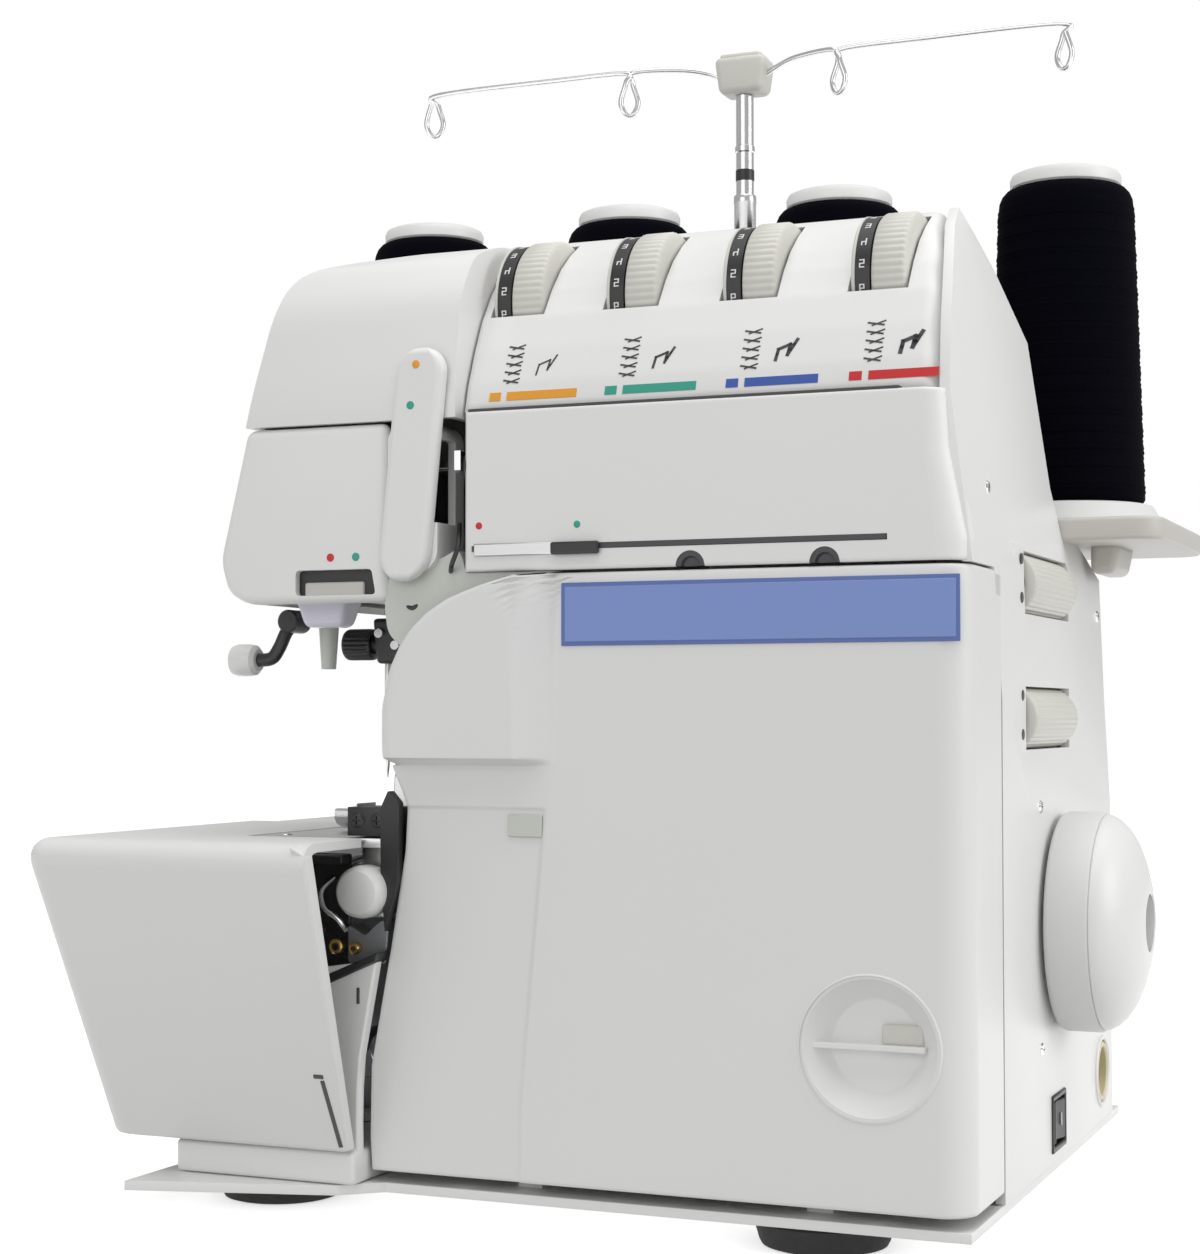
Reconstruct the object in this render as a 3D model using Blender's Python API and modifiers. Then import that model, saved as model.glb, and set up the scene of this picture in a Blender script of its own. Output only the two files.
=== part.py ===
"""A four-thread serger (overlock machine) as an assembly of closed solids.

The scene is in metres. Sizes below are in millimetres and are scaled once, by MM.
X runs along the arm, with the handwheel at +X. The front of the machine faces -Y.
The origin is on the table, under the middle of the machine's box.
"""

import math

import bmesh
import bpy
from mathutils import Matrix, Vector

MM = 0.001
CLEAR = 0.3  # gap between pieces that rest on each other

# Driving dimensions, in millimetres
HALF_WIDTH = 164.5  # spool tray's left end to the handwheel's cap
HALF_DEPTH = 141.0  # cloth plate's front edge to the spool tray's back edge
FRONT_Y = -100.0  # plane of the front cover and of the arm's panel
SIDE_X = 131.7  # outside of the right side cover
WALL = 3.0  # casing thickness
FOOT_TOP = 8.0
TRAY_TOP = 11.3
COVER_BOTTOM = 15.0
COVER_TOP = 197.6  # seam between the front cover and the arm
PANEL_TOP = 248.0  # seam between the arm's panel and the dial panel
BED_TOP = 117.0  # cloth plate and needle plate
STAND_Z = 214.2  # underside of the spool tray
STAND_TOP = 221.0
SPOOL_Y = 90.0
SPOOL_PITCH = 84.4
FIRST_SPOOL_X = -131.0
MAST_X, MAST_Y = -4.5, 105.0
HEAD_BLOCK_Z = 394.5  # underside of the thread guide's head
OVERALL_HEIGHT = 410.0
SHAFT_Y, SHAFT_Z, SHAFT_R = 24.0, 88.0, 5.0
MOTOR_Y, MOTOR_Z = 74.0, 46.0
DIAL_Y, DIAL_Z, DIAL_R = -60.0, 284.0, 22.0
DIAL_CENTRES_X = (-15.0, 23.0, 61.0, 101.0)
DIAL_WIDTH = 17.0
ROLLER_X, ROLLER_R = 125.2, 10.0
FEED_ROLLER_Z, LENGTH_ROLLER_Z = 196.0, 154.0
NEEDLE_X, NEEDLE_Y, PRESSER_Y = -74.0, -50.0, -38.0
COVER_AXIS_Y, COVER_AXIS_Z = -93.4, 19.5
PLATE_AXIS_X, PLATE_AXIS_Y = -147.0, -20.0

LOOKS = {  # colour, roughness, metallic
    "shell": ((0.80, 0.80, 0.79), 0.42, 0.0),
    "shell_shade": ((0.62, 0.64, 0.60), 0.50, 0.0),
    "grey": ((0.60, 0.59, 0.55), 0.50, 0.0),
    "blue": ((0.21, 0.29, 0.58), 0.45, 0.0),
    "black": ((0.02, 0.02, 0.02), 0.55, 0.0),
    "rubber": ((0.03, 0.03, 0.03), 0.85, 0.0),
    "steel": ((0.62, 0.62, 0.62), 0.28, 1.0),
    "cast": ((0.30, 0.31, 0.32), 0.60, 1.0),
    "cream": ((0.72, 0.66, 0.48), 0.50, 0.0),
    "lens": ((0.80, 0.78, 0.88), 0.20, 0.0),
    "thread": ((0.01, 0.012, 0.04), 0.90, 0.0),
}


# ---------------------------------------------------------------- scene helpers


def start_scene():
    """An empty scene with a collection for the parts and one for the cutters."""
    for old in list(bpy.data.objects):
        bpy.data.objects.remove(old)
    groups = []
    for name in ("serger_overlock_machine", "cutters"):
        group = bpy.data.collections.new(name)
        bpy.context.scene.collection.children.link(group)
        groups.append(group)
    return groups


PARTS, CUTTERS = start_scene()


def material(look):
    """The Principled material of one finish, made once."""
    found = bpy.data.materials.get(look)
    if found:
        return found
    colour, roughness, metallic = LOOKS[look]
    made = bpy.data.materials.new(look)
    made.use_nodes = True
    shader = made.node_tree.nodes["Principled BSDF"]
    shader.inputs["Base Color"].default_value = (*colour, 1.0)
    shader.inputs["Roughness"].default_value = roughness
    shader.inputs["Metallic"].default_value = metallic
    return made


def add(name, mesh, look):
    """Links a mesh, in millimetres, as a part, or as a cutter when it has no look."""
    mesh.transform(Matrix.Scale(MM, 4))
    made = bpy.data.objects.new(name, mesh)
    if look:
        PARTS.objects.link(made)
        mesh.materials.append(material(look))
    else:
        CUTTERS.objects.link(made)
        made.hide_render = True
        made.display_type = "WIRE"
    return made


def smooth(obj, degrees=35):
    obj.data.shade_smooth()
    obj.data.set_sharp_from_angle(angle=math.radians(degrees))
    return obj


def rounded(obj, width, segments=2):
    """Bevels the sharp edges."""
    bevel = obj.modifiers.new("rounding", "BEVEL")
    bevel.width = width * MM
    bevel.segments = segments
    bevel.limit_method = "ANGLE"
    bevel.angle_limit = math.radians(40)
    return obj


def combine(obj, other, operation):
    """Adds a Boolean, and turns the other object into a hidden helper."""
    step = obj.modifiers.new(operation.lower(), "BOOLEAN")
    step.operation = operation
    step.object = other
    step.solver = "EXACT"
    if other.name in PARTS.objects:
        PARTS.objects.unlink(other)
        CUTTERS.objects.link(other)
    other.hide_render = True
    other.display_type = "WIRE"
    return obj


def cut(obj, *others):
    for other in others:
        combine(obj, other, "DIFFERENCE")
    return obj


def join(obj, *others):
    for other in others:
        combine(obj, other, "UNION")
    return obj


def hang_on(empty_name, location, *objects):
    """Parents the pieces of one moving body to an empty on its joint's axis."""
    empty = bpy.data.objects.new(empty_name, None)
    PARTS.objects.link(empty)
    empty.empty_display_size = 0.01
    empty.location = Vector(location) * MM
    for obj in objects:
        obj.parent = empty
        obj.matrix_parent_inverse = Matrix.Translation(-empty.location)
    return empty


# ---------------------------------------------------------------- shape helpers


def hexahedron(name, low, high, look=None, low_end=None):
    """A box. low_end gives the bottom face's own (x0, x1, y0, y1), for sloping walls."""
    mesh = bpy.data.meshes.new(name)
    cage = bmesh.new()
    bmesh.ops.create_cube(cage, size=1.0)
    for vert in cage.verts:
        upper = vert.co.z > 0
        x0, x1, y0, y1 = low[0], high[0], low[1], high[1]
        if low_end and not upper:
            x0, x1, y0, y1 = low_end
        vert.co.x = x1 if vert.co.x > 0 else x0
        vert.co.y = y1 if vert.co.y > 0 else y0
        vert.co.z = high[2] if upper else low[2]
    cage.to_mesh(mesh)
    cage.free()
    return add(name, mesh, look)


def rod(name, start, end, radius, look=None, end_radius=None, sides=24):
    """A cylinder, or a cone, between two points."""
    start, end = Vector(start), Vector(end)
    along = end - start
    mesh = bpy.data.meshes.new(name)
    cage = bmesh.new()
    tip = radius if end_radius is None else end_radius
    bmesh.ops.create_cone(
        cage, cap_ends=True, segments=sides, radius1=radius, radius2=tip, depth=along.length
    )
    turn = along.to_track_quat("Z", "Y").to_matrix().to_4x4()
    cage.transform(Matrix.Translation((start + end) / 2) @ turn)
    cage.to_mesh(mesh)
    cage.free()
    return smooth(add(name, mesh, look))


PLANES = {  # outline's first axis, second axis, and the extrusion's axis
    "X": Matrix(((0, 0, 1), (1, 0, 0), (0, 1, 0))),
    "Y": Matrix(((1, 0, 0), (0, 0, -1), (0, 1, 0))),
    "Z": Matrix(((1, 0, 0), (0, 1, 0), (0, 0, 1))),
}


def prism(name, axis, outline, start, end, look=None, hole=None):
    """Extrudes an outline along axis: (y, z) points for X, (x, z) for Y, (x, y) for Z."""
    curve = bpy.data.curves.new(name + "_outline", "CURVE")
    curve.dimensions = "2D"
    curve.fill_mode = "BOTH"
    curve.extrude = abs(end - start) / 2
    for points in filter(None, (outline, hole)):
        spline = curve.splines.new("POLY")
        spline.points.add(len(points) - 1)
        spline.use_cyclic_u = True
        for point, (u, v) in zip(spline.points, points):
            point.co = (u, v, 0.0, 1.0)
    drawn = bpy.data.objects.new(name + "_outline", curve)
    CUTTERS.objects.link(drawn)
    graph = bpy.context.evaluated_depsgraph_get()
    mesh = bpy.data.meshes.new_from_object(drawn.evaluated_get(graph))
    bpy.data.objects.remove(drawn)
    cage = bmesh.new()
    cage.from_mesh(mesh)
    bmesh.ops.remove_doubles(cage, verts=cage.verts, dist=0.001)
    cage.transform(PLANES[axis].to_4x4())
    middle = (start + end) / 2
    shift = {"X": (middle, 0, 0), "Y": (0, middle, 0), "Z": (0, 0, middle)}[axis]
    bmesh.ops.translate(cage, verts=cage.verts, vec=shift)
    bmesh.ops.recalc_face_normals(cage, faces=cage.faces)
    cage.to_mesh(mesh)
    cage.free()
    return add(name, mesh, look)


def turned(name, profile, centre, axis, look=None, steps=32):
    """Turns a closed profile of (radius, height) points about axis through centre."""
    mesh = bpy.data.meshes.new(name)
    count = len(profile)
    points = [(radius, 0.0, height) for radius, height in profile]
    mesh.from_pydata(points, [(i, (i + 1) % count) for i in range(count)], [])
    made = add(name, mesh, look)
    screw = made.modifiers.new("turn", "SCREW")
    screw.steps = screw.render_steps = steps
    screw.use_merge_vertices = True
    screw.merge_threshold = 0.00001
    made.location = Vector(centre) * MM
    if axis == "X":
        made.rotation_euler = (0, math.radians(90), 0)
    return made


def ring(name, outer, inner, low, high, centre, axis, look=None, steps=32):
    """A turned ring with a bore."""
    profile = [(outer, high), (outer, low), (inner, low), (inner, high)]
    return turned(name, profile, centre, axis, look, steps)


def wire_mesh(name, points, radius, look=None, sides=2):
    """A bent wire as a mesh with welded caps."""
    curve = bpy.data.curves.new(name + "_path", "CURVE")
    curve.dimensions = "3D"
    curve.bevel_depth = radius
    curve.bevel_resolution = sides
    curve.use_fill_caps = True
    spline = curve.splines.new("POLY")
    spline.points.add(len(points) - 1)
    for point, place in zip(spline.points, points):
        point.co = (*place, 1.0)
    drawn = bpy.data.objects.new(name + "_path", curve)
    CUTTERS.objects.link(drawn)
    graph = bpy.context.evaluated_depsgraph_get()
    mesh = bpy.data.meshes.new_from_object(drawn.evaluated_get(graph))
    bpy.data.objects.remove(drawn)
    cage = bmesh.new()
    cage.from_mesh(mesh)
    bmesh.ops.remove_doubles(cage, verts=cage.verts, dist=0.001)
    bmesh.ops.recalc_face_normals(cage, faces=cage.faces)
    cage.to_mesh(mesh)
    cage.free()
    return smooth(add(name, mesh, look))


def curve_through(knots, steps=5):
    """Points on a Catmull-Rom curve through the knots."""
    ends = [knots[0], *knots, knots[-1]]
    points = []
    for a, b, c, d in zip(ends, ends[1:], ends[2:], ends[3:]):
        a, b, c, d = Vector(a), Vector(b), Vector(c), Vector(d)
        for i in range(steps):
            t = i / steps
            linear = (c - a) * t
            square = (2 * a - 5 * b + 4 * c - d) * t**2
            cube = (3 * b - 3 * c + d - a) * t**3
            points.append((2 * b + linear + square + cube) / 2)
    points.append(Vector(knots[-1]))
    return points


def rounded_rectangle(x0, x1, y0, y1, radius, steps=4):
    """Corner arcs of a rectangle, as an outline."""
    corners = ((x1, y1, 0), (x0, y1, 90), (x0, y0, 180), (x1, y0, 270))
    outline = []
    for x, y, start in corners:
        middle_x = x - math.copysign(radius, x - (x0 + x1) / 2)
        middle_y = y - math.copysign(radius, y - (y0 + y1) / 2)
        for i in range(steps + 1):
            turn = math.radians(start + 90 * i / steps)
            outline.append(
                (middle_x + radius * math.cos(turn), middle_y + radius * math.sin(turn))
            )
    return outline


def inset_strip(outer, thickness):
    """A closed strip between an open outline and its copy moved to its left side."""
    inner = []
    for i, point in enumerate(outer):
        before = Vector(outer[max(i - 1, 0)])
        after = Vector(outer[min(i + 1, len(outer) - 1)])
        along = (after - before).normalized()
        inner.append((point[0] - along.y * thickness, point[1] + along.x * thickness))
    return list(outer) + inner[::-1]


# ---------------------------------------------------------------- base and frame


def make_feet():
    centres = {
        "foot_front_right": (82, -76),
        "foot_front_left": (-101, -76),
        "foot_rear_right": (96, 96),
        "foot_rear_left": (-96, 48),
    }
    for name, (x, y) in centres.items():
        rod(name, (x, y, 0), (x, y, FOOT_TOP), 20.4, "rubber", end_radius=21, sides=28)


def make_base_tray():
    """The pan under the machine, flared to the left, with the cover's hinge brackets."""
    outline = [(131, -97.5), (131, 131), (-54, 131), (-62, 80), (-122, 76)]
    outline += [(-128, -126), (-64, -108), (-52, -97.5)]
    tray = prism("base_tray", "Z", outline, FOOT_TOP + CLEAR, TRAY_TOP, "shell_shade")
    for i, x in enumerate((-12, 80)):
        post = hexahedron(f"hinge_post_{i}", (x, -87, TRAY_TOP - 1), (x + 8, -80, 16.5))
        arm = hexahedron(f"hinge_arm_{i}", (x, COVER_AXIS_Y, COVER_AXIS_Z - 3.3), (x + 8, -80, 22.8))
        start, end = (x, COVER_AXIS_Y, COVER_AXIS_Z), (x + 8, COVER_AXIS_Y, COVER_AXIS_Z)
        join(tray, post, arm, rod(f"hinge_eye_{i}", start, end, 3.3, sides=16))
    bore = rod(
        "hinge_bore",
        (-20, COVER_AXIS_Y, COVER_AXIS_Z),
        (96, COVER_AXIS_Y, COVER_AXIS_Z),
        2.3,
        sides=16,
    )
    cut(tray, bore)


def make_base_left_panel():
    """The block under the cloth plate and the low wall in front of the loopers."""
    floor = hexahedron(
        "base_left_panel", (-121, -108, TRAY_TOP + CLEAR), (-57.5, -34, 21.7), "shell"
    )
    wall = prism(
        "low_wall", "Y", [(-120, 15), (-57.5, 15), (-57.5, 79), (-120, 70)], -104, -101
    )
    join(floor, wall)


def make_machine_frame():
    """The casting: bed, column, arm and the post under the needle plate."""
    outline = [(-112, 14), (118, 14), (118, 31), (20, 30), (20, 212), (112, 214)]
    outline += [(112, 238), (-95, 238), (-95, 210), (-40, 211), (-40, 29), (-80, 28)]
    outline += [(-80, 113.7), (-97.5, 113.7), (-97.5, 27), (-112, 26)]
    frame = prism("machine_frame", "Y", outline, -30, -4, "cast")
    guide = hexahedron("bar_guide", (-84, -57, 214), (-64, -29, 236))
    join(frame, guide)
    for name, y in (("needle_bore", NEEDLE_Y), ("presser_bore", PRESSER_Y)):
        cut(frame, rod(name, (NEEDLE_X, y, 205), (NEEDLE_X, y, 245), 3.8))
    bracket = hexahedron("take_up_bracket", (-25.8, -75, 223), (-19, -29, 233))
    pin = rod("take_up_pin", (-29.2, -70, 228), (-24, -70, 228), 2.2, sides=16)
    join(frame, bracket, pin)
    for i, x in enumerate((-33, 113)):
        ear = hexahedron(f"dial_ear_{i}", (x, -64, 232), (x + 3, -24, 288))
        join(frame, ear)
    for i, x in enumerate((-34, 105)):
        join(frame, hexahedron(f"ear_foot_{i}", (x, -28, 231), (x + 12, -12, 241)))
    axle = rod("dial_axle", (-32, DIAL_Y, DIAL_Z), (115, DIAL_Y, DIAL_Z), 3.0, sides=16)
    join(frame, axle)


# ---------------------------------------------------------------- casings


def lean(z):
    """How far the right side leans in at a height."""
    heights = ((205, 0.0), (231, 5.0), (277, 8.0), (292, 10.0), (309.5, 15.0))
    for (z0, x0), (z1, x1) in zip(heights, heights[1:]):
        if z <= z0:
            return x0
        if z <= z1:
            return x0 + (x1 - x0) * (z - z0) / (z1 - z0)
    return heights[-1][1]


def lean_right_end(obj, ahead=0.0):
    """Moves the right end of a casing piece in by the lean, taken a little higher up."""
    for vert in obj.data.vertices:
        if vert.co.x > 0:
            vert.co.x -= lean(vert.co.z / MM + ahead) * MM


BACK_LOW = [(115, 11.8), (115, 124), (105, 160), (97, 203), (66, 213.9)]
BACK_HIGH = [(36, 222), (33, 245), (16, 277), (-19, 295), (-34, 304), (-44.5, 308.7)]
DIAL_FRONT = [(-47.5, 309.3), (-62, 301), (-76, 288), (-88, 268), (-95, PANEL_TOP + 0.4)]


def make_right_side_cover():
    """The whole right end, with the handwheel's hole, two dial windows and the switch."""
    outline = [(-58.4, 11.8), *BACK_LOW, (40, 213.9), (37, 231), (17, 277), (-18, 295)]
    outline += [(-34, 304), (-46.5, 309.5), (-62, 301), (-76, 288), (-88, 268)]
    outline += [(-95, 248), (-95, 198.2), (-68.2, 198.2), (-65, 188), (-58.4, 159)]
    side = prism("right_side_cover", "X", outline, SIDE_X - WALL, SIDE_X, "shell")
    lean_right_end(side)
    for index, z in enumerate((FEED_ROLLER_Z, LENGTH_ROLLER_Z)):
        for y in (-42.0, 42.0):
            low, high = (112, min(y, y + 4), z - 6), (SIDE_X - 1, max(y, y + 4), z + 6)
            join(side, hexahedron(f"roller_ear_{index}_{int(y > 0)}", low, high))
        bore = rod(f"roller_bore_{index}", (ROLLER_X, -52, z), (ROLLER_X, 52, z), 2.3, sides=16)
        window = hexahedron(f"roller_window_{index}", (110, -37, z - 9.8), (140, 41, z + 9.8))
        cut(side, bore, window)
    hole = rod("wheel_hole", (120, SHAFT_Y, SHAFT_Z), (140, SHAFT_Y, SHAFT_Z), 12)
    inlet_hole = rod("inlet_hole", (120, 95, 29), (140, 95, 29), 11)
    switch_hole = hexahedron("switch_hole", (120, 8, 15), (140, 28, 33))
    cut(side, hole, inlet_hole, switch_hole)


def make_rear_cover():
    outline = inset_strip(BACK_LOW, WALL)
    cover = prism("rear_cover", "X", outline, -43.9, SIDE_X - WALL - CLEAR, "shell")
    lean_right_end(cover, WALL)


def make_column_cover():
    """The wall beside the work space, with the upper knife's pivot pin."""
    outline = [(-96.4, 31), (111, 31), (111, 123), (101, 160), (93, 197.8), (-96.4, 197.8)]
    wall = prism("column_cover", "X", outline, -44, -41, "shell")
    cut(wall, rod("shaft_way", (-50, SHAFT_Y, SHAFT_Z), (-30, SHAFT_Y, SHAFT_Z), 7))
    join(wall, rod("knife_pin", (-50.2, -66, 100), (-42.5, -66, 100), 2, sides=16))


def make_bed_rear_cover():
    """The bed's rear shell, open at the bottom and to the column, with the plate's hinge."""
    shell = hexahedron(
        "bed_rear_cover", (-147, -3, 14), (-44.4, 78, 116.6), "shell", (-137, -44.4, -3, 74)
    )
    inside = hexahedron(
        "bed_inside", (-143.5, 0, 5), (-30, 74.5, 113.6), None, (-133, -30, 0, 70)
    )
    cut(shell, inside)
    bracket = hexahedron("plate_bracket", (-151, -25, 86), (-125, -2, 95.6))
    pin = rod(
        "plate_pin", (PLATE_AXIS_X, PLATE_AXIS_Y, 90), (PLATE_AXIS_X, PLATE_AXIS_Y, 109), 2
    )
    join(shell, bracket, pin)


def make_upper_casing():
    """The arm's back and top, behind the dial panel."""
    outline = inset_strip(BACK_HIGH, WALL)
    casing = prism("upper_casing", "X", outline, -27.2, SIDE_X - WALL - CLEAR, "shell")
    lean_right_end(casing, WALL)


def make_dial_panel():
    """The sloping panel that the four tension dials stand out of."""
    outline = inset_strip(DIAL_FRONT, WALL)
    panel = prism("dial_panel", "X", outline, -27.2, SIDE_X - WALL - CLEAR, "shell")
    lean_right_end(panel, WALL)
    for i, x in enumerate(DIAL_CENTRES_X):
        half = DIAL_WIDTH / 2 + 0.7
        slot = rod(
            f"dial_slot_{i}", (x - half, DIAL_Y, DIAL_Z), (x + half, DIAL_Y, DIAL_Z), DIAL_R + 0.8
        )
        cut(panel, slot)


def make_arm_front_panel():
    low, high = (-24.5, FRONT_Y, COVER_TOP + 0.9), (SIDE_X, FRONT_Y + 3.2, PANEL_TOP - 0.4)
    panel = hexahedron("arm_front_panel", low, high, "shell")
    rail = hexahedron("thread_rail", (-22, FRONT_Y - 5, 204.3), (108.5, FRONT_Y + 1.2, 206.7))
    cut(panel, rail)


def make_head():
    """The head's upper cover and the face cover below it, both hollow."""
    side = [(-100, 240), (-100, 252), (-94, 284), (-82, 298), (-62, 306), (-34, 304)]
    side += [(-19, 295), (16, 277), (33, 245), (33, 240)]
    front = [(-102, 246.3), (-90, 291), (-80, 298), (-27.8, 311), (-27.8, 246.3)]
    upper = prism("head_cover", "Y", front, -120, 60, "shell")
    combine(upper, prism("head_profile", "X", side, -130, 0), "INTERSECT")
    hollow = prism(
        "head_hollow", "Y", [(-98.5, 240), (-87, 289), (-78, 295), (-10, 312), (-10, 240)], -120, 60
    )
    inner = [(-97, 230), (-97, 252), (-91, 282.5), (-80, 295), (-61, 302.5), (-35, 300.5)]
    inner += [(-20.5, 292), (13.5, 274), (30, 244), (30, 230)]
    combine(hollow, prism("hollow_profile", "X", inner, -130, 0), "INTERSECT")
    cut(upper, hollow)

    outline = [(-102, 245.7), (-112, 204), (-109, 195), (-103, 190), (-51.3, 190), (-51.3, 245.7)]
    face = prism("face_cover", "Y", outline, FRONT_Y, 33, "shell")
    room = [(-98.6, 250), (-108.7, 204), (-106, 197), (-101, 192), (-101, 180), (-40, 180)]
    room += [(-40, 250)]
    cut(face, prism("face_room", "Y", room, FRONT_Y + WALL, 30))
    cut(face, hexahedron("face_window", (-84, -110, 193.5), (-60, -90, 203)))


def make_arm_underside():
    """The plate under the arm, with the bars' holes and the needle thread guide."""
    plate = hexahedron("arm_underside", (-100.6, -96.6, 194), (-44.4, 29.7, 197), "shell_shade")
    hole = prism("bars_way", "Z", rounded_rectangle(-80, -68, -57, -32, 4), 185, 205)
    cut(plate, hole)
    guide = rod("thread_guide", (-90, -67, 170), (-90, -67, 195), 2.4, end_radius=4, sides=12)
    join(plate, guide)


def make_takeup_cover():
    """The round-ended cover over the take-up lever."""
    outline = rounded_rectangle(-50.8, -29.6, 196, 268, 10.4, 6)
    cover = prism("takeup_cover", "Y", outline, -104.3, FRONT_Y - CLEAR, "shell")
    body = prism("takeup_body", "Y", rounded_rectangle(-50.8, -29.6, 198.4, 245.4, 5), -101, -82)
    join(cover, body)


# ---------------------------------------------------------------- opening front cover


def make_front_cover():
    """The cover that slides right and swings down, with its left-hand bulge."""
    outline = [(SIDE_X, COVER_BOTTOM), (SIDE_X, COVER_TOP), (4, COVER_TOP), (-9, 196.4), (-29, 190)]
    outline += [(-41, 181), (-48, 169), (-50.5, 157), (-50.5, 140), (-44.6, 128), (-44.6, 113)]
    outline += [(-56, COVER_BOTTOM)]
    cover = prism("front_cover", "Y", outline, FRONT_Y, FRONT_Y + WALL, "shell")
    bulge = [(-3, 139.6), (-3, COVER_TOP - 0.2), (-9, 196.4), (-29, 190), (-41, 181)]
    bulge += [(-48, 169), (-50.5, 157), (-50.5, 139.6)]
    join(cover, prism("cover_bulge", "Y", bulge, FRONT_Y - 8, FRONT_Y + 1))
    wrap = [(-98, COVER_BOTTOM), (-98, COVER_TOP), (-69.5, COVER_TOP), (-66.5, 188)]
    wrap += [(-60, 159), (-60, COVER_BOTTOM)]
    join(cover, prism("cover_wrap", "X", wrap, SIDE_X - WALL, SIDE_X))
    top = hexahedron("cover_top", (-20, -98, COVER_TOP - WALL), (SIDE_X, -82, COVER_TOP))
    join(cover, top)
    dish = rod("finger_dish", (102.7, -99, 61), (102.7, -90, 61), 22)
    join(cover, dish)
    cut(cover, rod("finger_recess", (102.7, -110, 61), (102.7, -92.5, 61), 19.5, end_radius=13))
    for i, x in enumerate((-30, 100)):
        join(cover, hexahedron(f"cover_lug_{i}", (x, -98, 15.2), (x + 6, -89, 23.8)))
    start, end = (-40, COVER_AXIS_Y, COVER_AXIS_Z), (120, COVER_AXIS_Y, COVER_AXIS_Z)
    cut(cover, rod("lug_bore", start, end, 2.3, sides=16))
    band = hexahedron(
        "cover_band", (8, FRONT_Y - 0.9, 175.6), (129.5, FRONT_Y - CLEAR, 194.5), "blue"
    )
    shaft = rod(
        "cover_hinge_shaft",
        (-34, COVER_AXIS_Y, COVER_AXIS_Z),
        (110, COVER_AXIS_Y, COVER_AXIS_Z),
        2.0,
        "steel",
        sides=16,
    )
    axis = (0, COVER_AXIS_Y, COVER_AXIS_Z)
    carrier = hang_on("cover_carrier_axis", axis, shaft)
    swing = hang_on("cover_swing_axis", axis, cover, band)
    swing.parent = carrier
    swing.matrix_parent_inverse = Matrix.Translation(-carrier.location)


# ---------------------------------------------------------------- drive


def make_main_shaft():
    """The shaft, its drive pulley, the handwheel and the wheel's cap."""
    centre = (0, SHAFT_Y, SHAFT_Z)
    r = SHAFT_R
    profile = [(0.01, -80), (r, -80), (r, 92), (9, 92), (9, 96), (28, 96), (25, 99), (25, 103)]
    profile += [(28, 106), (r, 106), (r, 158), (0.01, 158)]
    shaft = smooth(turned("main_shaft", profile[::-1], centre, "X", "steel", 28))
    wheel = [(5.4, 132.6), (35.5, 132.6), (35.5, 148), (33, 153), (22, 159.6)]
    wheel += [(10, 162), (10, 158.4), (5.4, 158.4)]
    handwheel = smooth(turned("handwheel", wheel[::-1], centre, "X", "shell", 36))
    cap = [(0.01, 158.8), (9.5, 158.8), (9.5, 162.8), (0.01, HALF_WIDTH)]
    cover = smooth(turned("handwheel_cap", cap[::-1], centre, "X", "grey", 24))
    hang_on("main_shaft_axis", centre, shaft, handwheel, cover)
    block = hexahedron("shaft_bearing", (-36, -3.7, 74), (16, 38, 102), "cast")
    cut(block, rod("bearing_bore", (-50, SHAFT_Y, SHAFT_Z), (30, SHAFT_Y, SHAFT_Z), r + CLEAR))


def belt_outline(grow):
    """The belt's path round both pulleys, grown outwards."""
    spots = ((SHAFT_Y, SHAFT_Z, 25.3 + grow), (MOTOR_Y, MOTOR_Z, 7.3 + grow))
    (y0, z0, r0), (y1, z1, r1) = spots
    away = math.atan2(z1 - z0, y1 - y0)
    half = math.acos((r0 - r1) / math.dist((y0, z0), (y1, z1)))
    points = []
    for y, z, r, start, sweep in (
        (y0, z0, r0, away + half, 2 * (math.pi - half)),
        (y1, z1, r1, away - half, 2 * half),
    ):
        for i in range(13):
            turn = start + sweep * i / 12
            points.append((y + r * math.cos(turn), z + r * math.sin(turn)))
    return points


def make_motor():
    body = rod("motor", (-20, MOTOR_Y, MOTOR_Z), (70, MOTOR_Y, MOTOR_Z), 28, "cast", sides=32)
    join(body, hexahedron("motor_foot", (-10, 52, TRAY_TOP + CLEAR), (60, 96, 22)))
    profile = [(0.01, 70.4), (3, 70.4), (3, 96), (9.5, 96), (7, 99), (7, 103), (9.5, 106)]
    profile += [(0.01, 106)]
    centre = (0, MOTOR_Y, MOTOR_Z)
    pulley = smooth(turned("motor_pulley", profile[::-1], centre, "X", "steel", 24))
    hang_on("motor_axis", centre, pulley)
    prism("drive_belt", "X", belt_outline(1.6), 99.4, 102.6, "rubber", belt_outline(0))


def make_power_pieces():
    inlet = rod("power_inlet", (108, 95, 29), (132.3, 95, 29), 10.6, "cream", sides=32)
    cut(inlet, rod("inlet_cavity", (117, 95, 29), (140, 95, 29), 8.3))
    for i, y in enumerate((89.5, 100.5)):
        join(inlet, rod(f"inlet_pin_{i}", (115, y, 29), (127, y, 29), 1.0, sides=12))
    rocker = hexahedron("rocker_switch", (122.5, 9, 17.2), (132.6, 27, 30.8), "black")
    rounded(rocker, 1.0, 1)
    hang_on("switch_axis", (125, 18, 24), rocker)


# ---------------------------------------------------------------- dials


def make_tension_dials():
    for number, x in enumerate(DIAL_CENTRES_X, 1):
        half = DIAL_WIDTH / 2
        centre = (x, DIAL_Y, DIAL_Z)
        name = f"tension_dial_{number}"
        dial = smooth(ring(name, DIAL_R, 3.3, -half, half, centre, "X", "grey", 36))
        hang_on(f"{name}_axis", centre, dial)


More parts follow.
